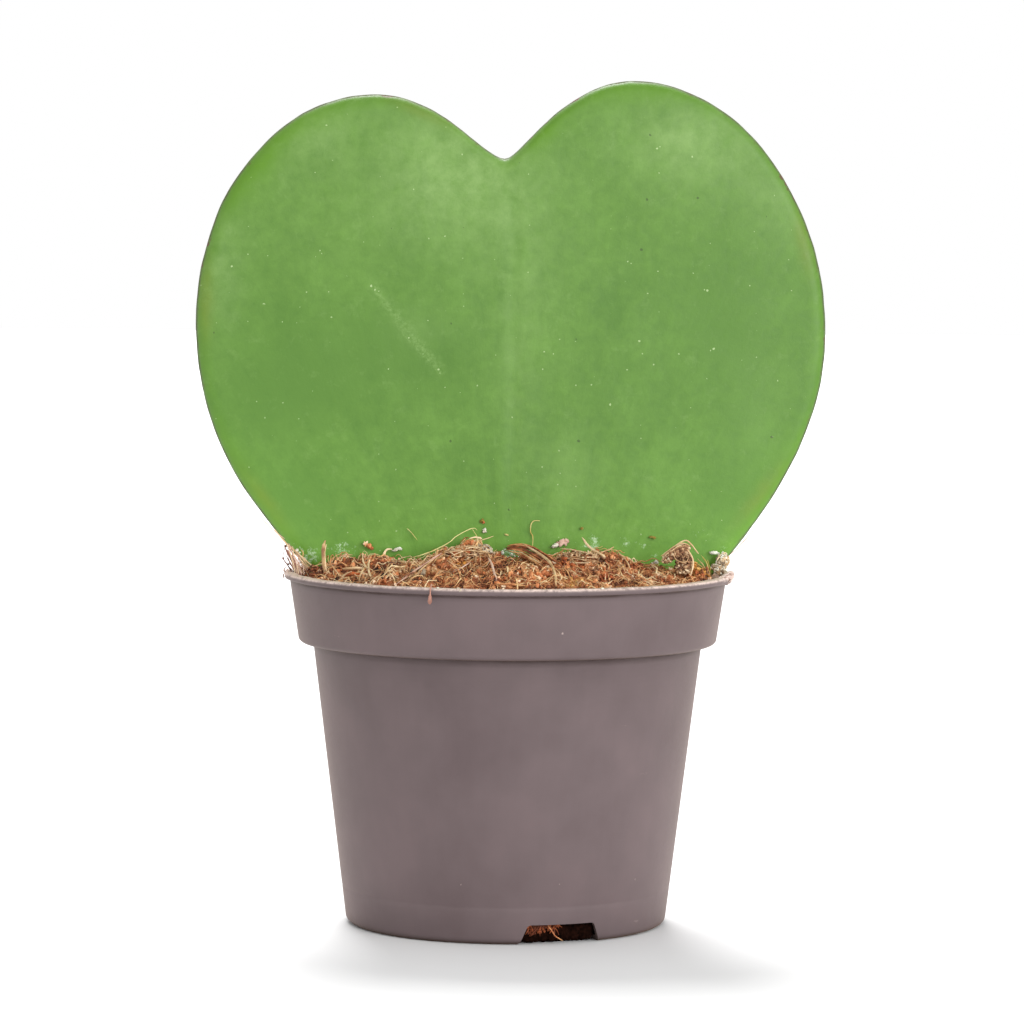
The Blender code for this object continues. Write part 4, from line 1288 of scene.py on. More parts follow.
# single strands that catch the eye: shade, tone, radii at both ends and flatness, then knots,
# which are x, y and height above the rim, all in mm
looseStrands = (
    ("straw", 0.25, 0.20, 0.26, 0.8, ((-24.5, -3.6, 4.25), (-24.7, -5.2, 2.8), (-24.3, -8.0, -0.1))),
    ("straw", 0.75, 0.07, 0.10, 1.0, ((-24.3, -4.0, 3.8), (-24.45, -5.5, 2.5), (-24.1, -8.3, -0.1))),
    # fan of hairs in the left corner
    ("pink", 0.95, 0.06, 0.08, 1.0, ((-33.4, -0.9, 7.2), (-32.4, -1.0, 6.3), (-31.2, -1.1, 5.2),
     (-30.0, -1.4, 4.3))),
    ("pink", 0.80, 0.06, 0.08, 1.0, ((-29.6, -2.0, 3.4), (-28.6, -2.6, 2.0), (-27.6, -4.0, 0.4))),
    ("pink", 0.90, 0.05, 0.07, 1.0, ((-28.9, -2.0, 3.2), (-28.1, -2.4, 1.9), (-27.2, -3.4, 0.8))),
    ("straw", 0.90, 0.05, 0.07, 1.0, ((-28.2, -2.0, 2.5), (-27.7, -2.6, 1.2), (-27.4, -3.6, 0.2))),
    ("fibre", 0.30, 0.06, 0.09, 1.0, ((-29.0, -2.6, 0.6), (-28.2, -3.4, 0.9), (-27.0, -4.4, 0.3))),
    ("straw", 0.85, 0.08, 0.11, 1.0, ((-31.4, -1.1, 5.6), (-30.1, -1.7, 4.05), (-27.8, -2.5, 2.1),
     (-26.1, -4.0, 0.85), (-24.6, -6.0, -0.1))),
    ("straw", 0.75, 0.05, 0.07, 1.0, ((-30.4, -1.3, 4.4), (-29.2, -2.1, 2.9), (-27.9, -2.9, 1.7),
     (-26.9, -4.4, 0.6))),
    ("pink", 0.25, 0.16, 0.25, 0.7, ((-30.0, -1.8, 3.3), (-29.1, -2.6, 1.7), (-28.3, -4.0, 0.3),
     (-27.6, -5.5, -0.4))),
    ("pink", 0.45, 0.13, 0.19, 0.8, ((-29.6, -2.2, 2.9), (-28.8, -2.8, 1.5), (-28.1, -4.4, -0.2))),
    ("pink", 0.05, 0.07, 0.12, 1.0, ((-29.8, -2.4, 2.2), (-29.0, -3.2, 0.9), (-28.0, -4.8, -0.3))),
    ("pink", 0.15, 0.06, 0.11, 1.0, ((-30.3, -1.7, 1.7), (-29.6, -2.2, 0.9), (-28.8, -3.6, -0.2))),
    ("pink", 0.45, 0.05, 0.10, 1.0, ((-29.4, -2.2, 1.2), (-28.8, -3.0, 0.5), (-27.9, -4.8, -0.3))),
    ("pink", 0.30, 0.06, 0.12, 1.0, ((-28.9, -2.2, 2.6), (-28.5, -3.2, 1.2), (-27.9, -5.2, -0.3))),
    ("pink", 0.70, 0.05, 0.09, 1.0, ((-28.7, -2.4, 2.2), (-28.0, -3.2, 1.0), (-27.3, -5.0, -0.2))),
    ("fibre", 0.10, 0.07, 0.10, 1.0, ((-29.2, -2.6, 1.0), (-28.4, -3.8, 0.2), (-27.4, -5.2, -0.2))),
    ("fibre", 0.45, 0.05, 0.07, 1.0, ((-27.8, -1.9, 2.9), (-27.5, -2.1, 2.5), (-27.6, -2.3, 1.8))),
    ("pink", 0.00, 0.04, 0.05, 1.0, ((-29.8, -1.6, 3.6), (-30.2, -1.4, 1.8), (-29.4, -1.9, 0.6),
     (-28.3, -3.2, -0.3))),
    ("straw", 0.65, 0.05, 0.08, 1.0, ((-28.8, -2.2, 3.1), (-27.4, -3.0, 1.6), (-26.4, -4.6, 0.4))),
    # left part
    ("straw", 1.00, 0.13, 0.22, 1.0, ((-15.6, -1.7, 3.05), (-16.2, -1.8, 3.0), (-16.6, -1.9, 2.5),
     (-16.5, -2.1, 1.9), (-15.3, -2.8, 1.3))),
    ("straw", 0.55, 0.15, 0.19, 0.8, ((-15.6, -3.4, 1.9), (-13.8, -8.6, 1.75), (-12.0, -12.1, 1.65))),
    ("straw", 0.70, 0.24, 0.30, 0.7, ((-21.9, -9.0, 0.9), (-20.6, -9.9, 1.1), (-19.2, -10.2, 1.1))),
    ("rust", 0.45, 0.28, 0.34, 0.7, ((-21.3, -12.9, 0.4), (-20.3, -13.0, 0.5), (-19.3, -12.0, 0.5))),
    ("straw", 0.75, 0.11, 0.14, 1.0, ((-19.5, -3.6, 2.5), (-19.2, -7.2, 1.6), (-18.5, -10.8, 1.0))),
    ("straw", 0.80, 0.11, 0.15, 1.0, ((-18.3, -4.0, 2.4), (-18.5, -9.7, 1.3), (-17.9, -17.2, 0.2))),
    ("straw", 0.65, 0.09, 0.12, 1.0, ((-19.9, -7.0, 1.5), (-19.0, -10.0, 1.4), (-17.8, -12.4, 1.0))),
    ("straw", 0.60, 0.09, 0.12, 1.0, ((-19.0, -10.0, 1.3), (-19.3, -13.5, 0.8), (-19.5, -16.5, 0.0))),
    ("pink", 0.70, 0.11, 0.15, 1.0, ((-14.6, -23.2, 0.0), (-12.1, -15.0, 1.3), (-10.5, -11.0, 2.1),
     (-8.8, -8.5, 3.1))),
    ("straw", 0.45, 0.09, 0.12, 1.0, ((-12.9, -21.0, 0.2), (-11.2, -14.0, 1.5), (-9.8, -10.0, 2.4))),
    ("moss", 0.95, 0.08, 0.05, 1.0, ((-13.4, -3.2, 1.9), (-11.9, -5.8, 2.5), (-9.6, -5.0, 3.3),
     (-8.0, -4.5, 4.15), (-6.5, -4.0, 5.3), (-4.7, -3.0, 6.05), (-4.2, -2.6, 5.75))),
    ("moss", 0.80, 0.04, 0.05, 1.0, ((-4.8, -3.0, 5.95), (-4.4, -3.0, 5.3), (-3.9, -3.0, 4.5))),
    ("straw", 0.90, 0.11, 0.13, 1.0, ((-5.2, -4.6, 4.75), (-4.4, -4.5, 4.95), (-3.5, -4.4, 4.7))),
    ("straw", 0.45, 0.06, 0.05, 1.0, ((-4.4, -4.6, 4.3), (-3.2, -3.8, 4.6), (-2.0, -3.0, 5.0))),
    ("rust", 0.10, 0.05, 0.06, 1.0, ((-6.4, -4.8, 4.2), (-5.8, -4.8, 4.8), (-5.2, -4.8, 4.9))),
    ("pink", 0.95, 0.14, 0.17, 1.0, ((-2.6, -9.6, 2.6), (-2.0, -16.0, 1.9), (-1.4, -23.6, 0.25))),
    ("fibre", 0.50, 0.15, 0.18, 0.8, ((-1.5, -24.0, 0.3), (0.4, -24.8, 0.3), (2.6, -25.4, 0.1))),
    ("fibre", 0.35, 0.10, 0.12, 0.8, ((1.6, -25.0, 0.1), (3.4, -24.6, 0.2), (5.2, -24.4, 0.1))),
    ("pink", 0.80, 0.08, 0.10, 1.0, ((-7.2, -16.0, 0.9), (-6.1, -13.5, 1.5), (-4.9, -11.5, 2.2))),
    # dark bundle, four fibres side by side, and the pale stick that crosses it
    ("fibre", 0.00, 0.20, 0.26, 0.8, ((-0.3, -3.4, 3.45), (1.6, -4.2, 3.75), (3.6, -5.8, 3.25),
     (6.0, -9.6, 1.9))),
    ("fibre", 0.20, 0.13, 0.17, 0.8, ((-0.1, -3.8, 3.75), (1.8, -4.5, 4.05), (3.8, -6.0, 3.55),
     (6.2, -9.9, 2.3))),
    ("fibre", 0.08, 0.12, 0.15, 0.8, ((0.4, -3.4, 3.75), (2.4, -4.2, 3.75), (4.6, -6.6, 3.0),
     (7.2, -10.4, 1.6))),
    ("fibre", 0.02, 0.15, 0.20, 0.8, ((-0.1, -3.7, 3.35), (1.7, -4.8, 3.45), (3.6, -6.6, 2.9),
     (5.7, -10.2, 1.8))),
    ("fibre", 0.14, 0.12, 0.17, 0.8, ((0.6, -4.2, 3.4), (2.4, -5.6, 3.2), (4.2, -8.0, 2.4),
     (6.0, -11.2, 1.5))),
    ("fibre", 0.32, 0.11, 0.15, 0.8, ((-0.4, -3.9, 3.2), (1.3, -5.2, 3.3), (3.2, -7.2, 2.6),
     (5.0, -10.6, 1.6))),
    ("fibre", 0.42, 0.12, 0.15, 0.8, ((0.0, -4.6, 3.1), (1.6, -5.8, 2.9), (3.2, -8.0, 2.2),
     (4.8, -11.4, 1.4))),
    ("fibre", 0.28, 0.10, 0.13, 0.8, ((0.9, -5.0, 2.8), (2.6, -7.0, 2.3), (4.2, -9.8, 1.6))),
    ("fibre", 0.55, 0.07, 0.10, 0.8, ((0.8, -4.6, 4.0), (2.6, -5.6, 3.8), (4.4, -7.8, 3.0),
     (5.6, -10.4, 2.2))),
    ("straw", 0.60, 0.09, 0.13, 0.8, ((1.4, -5.6, 3.2), (2.9, -7.4, 2.5), (4.4, -9.8, 1.9))),
    ("straw", 0.55, 0.16, 0.20, 1.0, ((2.0, -6.2, 4.2), (3.9, -9.4, 3.3), (5.4, -13.6, 2.45),
     (6.1, -19.4, 1.45), (6.2, -25.6, 0.2))),
    # right part
    ("straw", 0.80, 0.14, 0.22, 0.9, ((9.9, -3.6, 4.95), (10.9, -5.6, 3.75), (12.9, -8.6, 2.75))),
    ("straw", 0.65, 0.09, 0.13, 0.9, ((7.0, -4.4, 3.5), (9.2, -6.0, 3.35), (11.8, -8.2, 2.9))),
    ("straw", 0.70, 0.08, 0.07, 1.0, ((12.4, -4.2, 3.0), (13.4, -3.8, 3.3), (14.2, -3.4, 3.7))),
    ("straw", 0.65, 0.08, 0.11, 1.0, ((14.7, -4.8, 3.1), (15.6, -6.2, 2.3), (16.3, -8.4, 1.2))),
    ("straw", 0.50, 0.08, 0.10, 1.0, ((7.4, -5.4, 3.1), (8.4, -8.0, 2.4), (9.2, -11.0, 1.8))),
    ("moss", 0.75, 0.06, 0.08, 1.0, ((4.3, -1.55, 7.0), (3.5, -1.65, 7.0), (3.05, -1.7, 6.5),
     (3.0, -1.7, 5.5), (3.3, -1.7, 4.9), (3.3, -2.0, 3.6))),
    ("straw", 0.95, 0.09, 0.13, 1.0, ((19.0, -5.4, 1.5), (19.8, -8.0, 1.2), (19.4, -13.2, 0.5))),
    ("straw", 0.70, 0.07, 0.10, 1.0, ((21.4, -9.0, 0.9), (21.0, -11.0, 0.3), (20.8, -14.0, -0.3))),
    ("straw", 0.70, 0.09, 0.14, 0.8, ((20.4, -8.2, 2.9), (21.9, -8.2, 4.05), (23.5, -8.2, 4.95),
     (24.4, -8.2, 4.35), (25.3, -8.2, 3.2))),
    ("straw", 0.20, 0.09, 0.10, 1.0, ((20.3, -8.6, 2.9), (21.6, -8.9, 3.5), (23.3, -8.9, 4.3),
     (24.0, -8.9, 3.9))),
    ("straw", 0.70, 0.10, 0.13, 1.0, ((23.8, -8.9, 3.9), (24.5, -8.9, 2.6), (24.5, -9.0, 1.5),
     (24.2, -9.0, 0.1))),
    ("straw", 0.60, 0.07, 0.08, 1.0, ((20.5, -8.4, 2.7), (21.7, -8.5, 3.5), (23.0, -8.5, 4.6),
     (24.2, -8.6, 4.3))),
    ("straw", 0.80, 0.06, 0.08, 1.0, ((20.9, -8.9, 3.0), (22.2, -8.9, 4.0), (23.2, -8.8, 4.5))),
    ("pink", 0.90, 0.06, 0.09, 1.0, ((29.9, -1.6, 2.7), (30.8, -1.4, 3.5), (32.0, -1.2, 4.8),
     (33.0, -1.1, 5.9))),
    ("straw", 0.50, 0.06, 0.06, 1.0, ((21.8, -9.2, 3.4), (22.4, -9.4, 2.4), (23.6, -9.4, 2.2),
     (24.0, -9.2, 3.0))),
    ("moss", 0.55, 0.05, 0.09, 1.0, ((25.9, -2.2, 2.6), (26.6, -2.8, 1.6), (27.0, -3.6, 0.4))),
    ("moss", 0.30, 0.05, 0.08, 1.0, ((26.7, -2.0, 2.0), (27.0, -2.6, 1.2), (27.2, -3.4, 0.2))),
    ("straw", 0.40, 0.05, 0.08, 1.0, ((25.4, -3.0, 2.2), (26.2, -3.8, 1.2), (26.8, -4.6, 0.2))),
    # fibre hanging over the lip, with a swollen end
    ("pink", 0.50, 0.10, 0.08, 1.0, ((-9.7, -26.4, 0.25), (-9.85, -27.9, 0.35), (-9.95, -28.65, -0.2),
     (-9.95, -28.6, -1.1))),
    ("pink", 0.42, 0.15, 0.32, 1.0, ((-9.95, -28.6, -0.7), (-10.0, -28.55, -1.4), (-10.0, -28.45, -2.0))),
    ("moss", 0.80, 0.04, 0.04, 1.0, ((-13.6, -1.45, 5.85), (-13.0, -1.5, 5.3), (-12.2, -1.5, 4.3))),
    # in the drain notch
    ("fibre", 0.55, 0.09, 0.08, 1.0, ((5.5, -20.4, -44.7), (6.0, -21.0, -45.3), (6.5, -21.5, -46.0),
     (7.5, -21.8, -46.6))),
)
# grains and flakes: kind, x, y, height above the rim, three half sizes in mm, tone, tilt in degrees
looseGrains = (
    ("crumb", -29.9, -1.5, 3.35, 0.14, 0.14, 0.16, 0.0, 0),
     ("crumb", -30.2, -1.4, 1.75, 0.11, 0.12, 0.13, 0.0, 0),
    ("crumb", -29.5, -1.8, 0.95, 0.12, 0.12, 0.13, 0.0, 0),
     ("grit", -28.4, -1.9, 2.8, 0.24, 0.14, 0.18, 0.95, -25),
    ("grit", -28.0, -1.9, 2.5, 0.14, 0.12, 0.14, 0.85, 0),
    ("crumb", -19.15, -1.6, 3.75, 0.30, 0.26, 0.30, 0.98, 20),
     ("crumb", -18.65, -1.6, 3.45, 0.28, 0.24, 0.28, 0.42, 0),
    ("crumb", -18.3, -1.6, 3.15, 0.22, 0.2, 0.20, 0.30, 0),
    ("grit", -15.1, -1.7, 2.95, 0.34, 0.18, 0.20, 0.85, -25),
     ("grit", -14.6, -1.7, 3.15, 0.32, 0.16, 0.20, 1.0, 12),
    ("grit", -11.1, -16.0, 1.0, 0.28, 0.3, 0.50, 0.45, 12),
     ("grit", -11.6, -13.0, 1.3, 0.28, 0.3, 0.26, 0.2, 0),
    ("grit", -12.6, -14.0, 1.0, 0.26, 0.3, 0.24, 0.1, 0),
     ("pink", -14.4, -6.0, 1.5, 0.34, 0.3, 0.30, 0.1, 0),
    ("pink", -15.4, -7.0, 1.4, 0.30, 0.3, 0.24, 0.0, 0),
     ("rust", -13.2, -5.2, 1.6, 0.36, 0.3, 0.30, 0.2, 0),
    ("moss", -3.5, -1.5, 6.95, 0.20, 0.18, 0.26, -0.2, 30),
     ("rust", -3.3, -1.5, 6.75, 0.16, 0.16, 0.16, 0.5, 0),
    ("grit", -3.15, -1.5, 5.6, 0.26, 0.22, 0.24, 0.85, 0),
     ("moss", -0.2, -1.5, 5.1, 0.30, 0.12, 0.09, 0.9, 15),
    ("grit", -0.8, -1.8, 2.75, 0.20, 0.18, 0.24, 1.3, 0),
     ("grit", 0.5, -1.7, 2.45, 0.12, 0.12, 0.13, 1.2, 0),
    ("grit", -1.3, -2.0, 2.2, 0.26, 0.2, 0.16, 1.1, 0), ("grit", 0.9, -1.7, 2.2, 0.12, 0.12, 0.14, 1.2, 0),
    ("grit", 1.3, -1.7, 2.6, 0.08, 0.08, 0.09, 1.1, 0), ("grit", -0.4, -1.7, 3.1, 0.08, 0.08, 0.08, 1.1, 0),
    ("grit", 0.0, -1.8, 2.0, 0.13, 0.1, 0.10, 1.2, 20), ("grit", 1.5, -1.8, 2.1, 0.10, 0.1, 0.13, 1.2, -20),
    ("grit", -0.9, -1.9, 2.1, 0.15, 0.1, 0.09, 1.1, 35),
     ("grit", 0.5, -1.9, 1.8, 0.16, 0.1, 0.10, 1.0, -10),
    ("grit", 2.0, -1.8, 2.5, 0.09, 0.1, 0.08, 1.2, 0), ("moss", 0.9, -1.9, 2.9, 0.16, 0.1, 0.07, 0.9, 25),
    ("grit", 6.3, -1.8, 3.65, 0.52, 0.14, 0.22, 0.85, -28),
     ("pink", 7.2, -1.8, 4.1, 0.52, 0.16, 0.36, 0.75, -35),
    ("pink", 7.8, -1.8, 4.25, 0.34, 0.16, 0.40, 0.85, 0),
     ("pink", 6.8, -1.7, 3.95, 0.30, 0.14, 0.22, 0.55, 0),
    ("moss", 9.9, -1.5, 6.0, 0.20, 0.18, 0.17, 0.0, 0),
     ("moss", 19.4, -1.3, 4.85, 0.36, 0.16, 0.15, 0.15, 14),
    ("grit", 19.8, -3.8, 1.75, 0.32, 0.26, 0.24, 0.9, 0),
     ("grit", 19.4, -3.6, 1.45, 0.2, 0.2, 0.18, 0.8, 0),
    ("grit", 27.7, -1.4, 2.85, 0.60, 0.2, 0.17, 1.0, 6),
    ("grit", -9.0, -28.6, 0.1, 0.16, 0.2, 0.10, 0.9, 0),
     ("grit", -6.4, -29.0, 0.05, 0.20, 0.24, 0.10, 0.8, 0),
    ("grit", -6.1, -29.3, -0.2, 0.12, 0.12, 0.16, 0.8, 0),
     ("grit", 12.2, -27.2, 0.05, 0.16, 0.2, 0.10, 0.85, 0),
)


# pale hairs packed between the leaf's edge and the lip in the left corner, sizes in mm
cornerHairs = {"count": 38, "radius": (0.025, 0.06), "tone": (0.7, 1.3), "shades": ("pink", "pink", "straw")}


def makeLoosePieces(draw):
    strands = {kind: newHeap() for kind in ("fibre", "straw", "pink", "rust", "moss")}
    for shade, tone, first, final, flat, knots in looseStrands:
        path = smoothPath([overRim(*knot) for knot in knots], 6)
        last = len(path) - 1
        radii = []
        for i, spot in enumerate(path):
            uneven = 1 + 0.3 * noise.noise(spot / (0.5 * mm))
            ends = 0.45 + 0.55 * min(1.0, 4 * min(i, last - i) / last)
            radii.append((first + (final - first) * i / last) * mm * uneven * ends)
            spot += 0.06 * mm * noise.noise_vector(spot / (0.9 * mm))
            if i < last * 0.85 and spot.xy.length < mixEdge and spot.z > rim - 2 * mm:
                # lies on the coir and is not lost in it
                spot.z = max(spot.z, mixSkin(spot.x, spot.y) + radii[-1] + 0.22 * mm)
        addStrand(strands[shade], path, radii, 8, tone, flat)
    for _ in range(cornerHairs["count"]):
        along = draw.random()     # 0 by the lip, 1 furthest in
        x, y, up = -29.8 + 2.8 * along, draw.uniform(-2.3, -1.7), draw.uniform(2.2, 4.1) - 2.3 * along
        knots = [(x, y, up)]
        x, up = -29.0 + 2.3 * along + draw.uniform(-0.3, 0.3), 1.7 - 0.8 * along + draw.uniform(-0.3, 0.3)
        knots.append((x, -3.0, up))
        x, y = -28.2 + 2.4 * along + draw.uniform(-0.6, 0.6), draw.uniform(-5.8, -3.6)
        knots.append((x, y, draw.uniform(-0.8, 0.0)))
        path = smoothPath([overRim(*knot) for knot in knots], 4)
        thick = draw.uniform(*cornerHairs["radius"]) * mm
        heap = strands[draw.choice(cornerHairs["shades"])]
        addStrand(heap, path, [thick] * len(path), 5, draw.uniform(*cornerHairs["tone"]))
    for kind, heap in strands.items():
        name = "loose" + kind.capitalize() + "Fibre"
        coirPiece(heap, name, coirMaterial(name, kind, 0.3))
    heaps = {kind: newHeap() for kind in ("crumb", "grit", "rust", "pink", "moss")}
    for kind, x, y, up, wide, deep, tall, tone, tilt in looseGrains:
        turned = Euler((0, math.radians(tilt), 0))
        size = (wide * mm, deep * mm, tall * mm)
        addLump(heaps[kind], draw, overRim(x, y, up), size, tone, 3, 0.9, turned)
    for kind, heap in heaps.items():
        name = "loose" + kind.capitalize()
        coirPiece(heap, name, coirMaterial(name, kind, 0.5))


# piles of one kind: middle x and y, half spreads, extra rise at the middle, how many,
# smallest and largest half size, all in mm, then darkest and palest tone
piles = (
    ("rust", 13.2, -15.4, 1.7, 2.2, 0.6, 190, 0.12, 0.34, 0.0, 0.6),
    ("rust", 8.6, -8.0, 3.0, 2.4, 0.4, 170, 0.10, 0.28, 0.2, 1.0),
    ("crumb", 11.4, -6.5, 3.6, 2.4, 0.5, 420, 0.10, 0.30, 0.2, 0.95),
    ("crumb", 4.5, -15.0, 3.2, 5.0, 0.3, 420, 0.10, 0.32, 0.2, 0.9),
    ("rust", 4.0, -19.0, 3.0, 4.0, 0.2, 170, 0.10, 0.30, 0.4, 1.0),
    ("gold", 9.3, -20.0, 1.8, 2.6, 0.4, 190, 0.10, 0.28, 0.2, 1.0),
    ("gold", 25.0, -5.4, 1.3, 1.8, 1.3, 260, 0.08, 0.26, 0.0, 0.8),
    ("rust", 24.2, -7.0, 2.0, 2.0, 0.9, 170, 0.08, 0.28, 0.3, 0.9),
    ("rust", -5.2, -4.8, 0.9, 0.8, 0.9, 80, 0.12, 0.30, 0.5, 1.0),
    ("gold", -6.4, -8.0, 2.8, 2.6, 0.3, 170, 0.10, 0.26, 0.1, 0.9),
    ("rust", -7.0, -6.4, 2.4, 2.2, 0.5, 260, 0.08, 0.28, 0.2, 1.0),
    ("crumb", -8.6, -10.0, 2.6, 4.0, 0.3, 200, 0.10, 0.30, 0.1, 0.9),
    ("rust", -8.4, -14.0, 2.0, 3.0, 0.2, 120, 0.10, 0.30, 0.1, 0.8),
    ("rust", -1.0, -20.0, 2.4, 3.0, 0.2, 120, 0.10, 0.32, 0.1, 0.9),
    ("rust", 17.6, -6.2, 1.4, 1.6, 0.5, 110, 0.10, 0.30, 0.0, 0.5),
    ("crumb", 17.5, -9.0, 2.4, 4.0, 0.2, 230, 0.10, 0.30, 0.0, 0.5),
    ("crumb", -27.0, -5.4, 1.2, 1.5, 0.7, 130, 0.08, 0.26, -0.2, 0.4),
    ("crumb", -26.2, -7.0, 1.8, 3.0, 0.5, 260, 0.10, 0.30, -0.2, 0.35),
    ("crumb", -9.0, 12.0, 4.0, 4.0, 0.5, 330, 0.12, 0.40, 0.2, 0.95),
    ("gold", 8.0, 14.0, 4.0, 4.0, 0.3, 200, 0.10, 0.36, 0.1, 0.9),
    ("rust", 1.0, 18.0, 4.0, 3.0, 0.3, 160, 0.12, 0.38, 0.1, 0.9),
)
pileLook = {
    "gather": 0.62,             # share of the half spread that most crumbs lie within
    "steep": 1.6,
    "fine": 1.8,                # higher gives more small crumbs
    "flat": (0.3, 1.5),
    "rough": 0.85,
    "detailFrom": 0.19 * mm,    # larger crumbs get more faces
}


def makePiles(draw):
    heaps = {"crumb": newHeap(), "rust": newHeap(), "gold": newHeap()}
    for kind, midX, midY, wide, deep, high, count, small, large, dark, pale in piles:
        left = count
        while left > 0:
            u, v = draw.gauss(0, pileLook["gather"]), draw.gauss(0, pileLook["gather"])
            x, y = (midX + u * wide) * mm, (midY + v * deep) * mm
            size = (small + (large - small) * draw.random() ** pileLook["fine"]) * mm
            rise = high * mm * math.exp(-(u * u + v * v) * pileLook["steep"]) * draw.uniform(0.1, 1.0)
            spot = Vector((x, y, mixSkin(x, y) + rise + 0.3 * size))
            if not clearOfLeaf(spot, 0.8 * size) or not insidePot(spot, size):
                continue
            shape = [size * draw.uniform(*pileLook["flat"]) for _ in range(3)]
            cuts = 2 if size > pileLook["detailFrom"] else 1
            addLump(heaps[kind], draw, spot, shape, draw.uniform(dark, pale), cuts, pileLook["rough"])
            left -= 1
    for kind, heap in heaps.items():
        name = "pile" + kind.capitalize()
        coirPiece(heap, name, coirMaterial(name, kind, 0.45, 0.55))


# coir tangled in the air: middle x, y and height above the rim, half sizes and tilt in degrees, then
# the tone of its core, if it has one, how many crumbs and hairs, and the hairs' tones and reach
tangles = (
    # the clod on the right: a slanting top and a narrower foot
    {"at": (22.3, -8.2, 3.15), "size": (1.85, 0.9, 0.72), "tilt": -30,
     "core": 0.15, "hairs": 18, "crumbs": 620, "tone": (0.2, 0.9), "reach": 1.6},
    {"at": (23.3, -8.2, 1.7), "size": (1.0, 0.9, 1.8), "tilt": 8,
     "core": 0.3, "hairs": 22, "crumbs": 380, "tone": (0.15, 0.8), "reach": 1.4},
    # the fibrous lump against the leaf at the right end
    {"at": (28.75, -1.9, 1.6), "size": (0.8, 0.6, 1.15), "tilt": 24,
     "core": 0.9, "hairs": 70, "crumbs": 200, "tone": (0.6, 1.0), "reach": 1.0, "pale": True},
    {"at": (28.3, -2.4, 0.5), "size": (1.1, 0.7, 0.6), "tilt": 35,
     "core": 0.8, "hairs": 40, "crumbs": 170, "tone": (0.5, 1.0), "reach": 1.4, "pale": True},
    {"at": (-3.0, -5.8, 3.45), "size": (0.85, 0.6, 0.5), "tilt": 20,
     "core": 0.6, "hairs": 12, "crumbs": 110, "tone": (0.6, 1.0), "reach": 1.0, "pale": True},
    {"at": (-5.6, -6.4, 2.9), "size": (2.6, 1.7, 1.0), "tilt": 0,
     "hairs": 60, "crumbs": 60, "tone": (0.4, 1.0), "reach": 2.6},
    {"at": (9.6, -6.6, 2.4), "size": (3.2, 1.8, 0.8), "tilt": 0,
     "hairs": 30, "crumbs": 160, "tone": (0.3, 0.95), "reach": 2.2},
)


def makeTangles(draw):
    cores, crumbs, hairs, pale = newHeap(), newHeap(), newHeap(), newHeap()
    for look in tangles:
        centre = overRim(*look["at"])
        size = [part * mm for part in look["size"]]
        lean = Euler((0, math.radians(look["tilt"]), 0))

        def onTangle(spot, grow):
            reached = Vector((spot.x * size[0], spot.y * size[1], spot.z * size[2])) * grow
            return centre + lean.to_matrix() @ reached

        def anyWay():
            across = draw.uniform(0, 2 * math.pi)
            up = draw.uniform(-0.6, 1.0)
            level = math.sqrt(1 - up * up)
            return Vector((math.cos(across) * level, math.sin(across) * level, up))

        if "core" in look:
            addLump(cores, draw, centre, [part * 0.72 for part in size], look["core"], 4, 0.5, lean)
        for _ in range(look["crumbs"]):
            crumb = draw.uniform(0.07, 0.22) * mm
            spot = onTangle(anyWay(), draw.uniform(0.8, 1.10))
            if clearOfLeaf(spot, crumb):
                shape = [crumb * draw.uniform(0.5, 1.3) for _ in range(3)]
                heap = pale if "pale" in look else crumbs
                cuts = 2 if crumb > 0.15 * mm else 1
                addLump(heap, draw, spot, shape, draw.uniform(0.0, 1.0), cuts, 0.9)
        for _ in range(look["hairs"]):
            start = anyWay()
            way = Vector((draw.uniform(-1, 1), draw.uniform(-1, 1), draw.uniform(-0.7, 0.7)))
            way = (way - start * way.dot(start)).normalized()
            reach = draw.uniform(0.3, 1.0) * look["reach"] / (look["size"][0] + look["size"][2]) * 2
            lift = draw.uniform(0.95, 1.2)
            path = []
            for i in range(8):
                turn = reach * (i / 7 - 0.5)
                spot = start * math.cos(turn) + way * math.sin(turn)
                path.append(onTangle(spot, lift + 0.16 * noise.noise(spot * 2.4 + start * 9)))
            if all(clearOfLeaf(place, 0.15 * mm) for place in path):
                thick = draw.uniform(0.04, 0.09) * mm
                addStrand(hairs, path, taper((thick, 0.6 * thick), 8), 5, draw.uniform(*look["tone"]))
    pith = coirMaterial("tanglePith", "clod", 0.5)
    coirPiece(cores, "coirTangleCores", pith)
    coirPiece(crumbs, "coirTangleCrumbs", pith)
    coirPiece(pale, "coirTanglePale", coirMaterial("tanglePale", "grit", 0.6))
    coirPiece(hairs, "coirTangleHairs", coirMaterial("tangleHair", "straw", 0.3))


# near-black coir that plugs each drain notch, put there as painted shade inside it, and rusty shreds that
# hang on one side of it, in mm
notchFill = {
    "plugs": 15,
    "plugGap": 0.6,
    "plugSize": (0.8, 1.0, 1.36),
    "shreds": 46,
    "shredRadius": (0.04, 0.10),
    "crumbs": 90,
    "crumbSize": (0.08, 0.22),
    # near-black colours that stand in as painted shade inside the notch
    "paintedShade": shades((0.35, 9, 6, 5), (0.75, 40, 20, 14)),
}


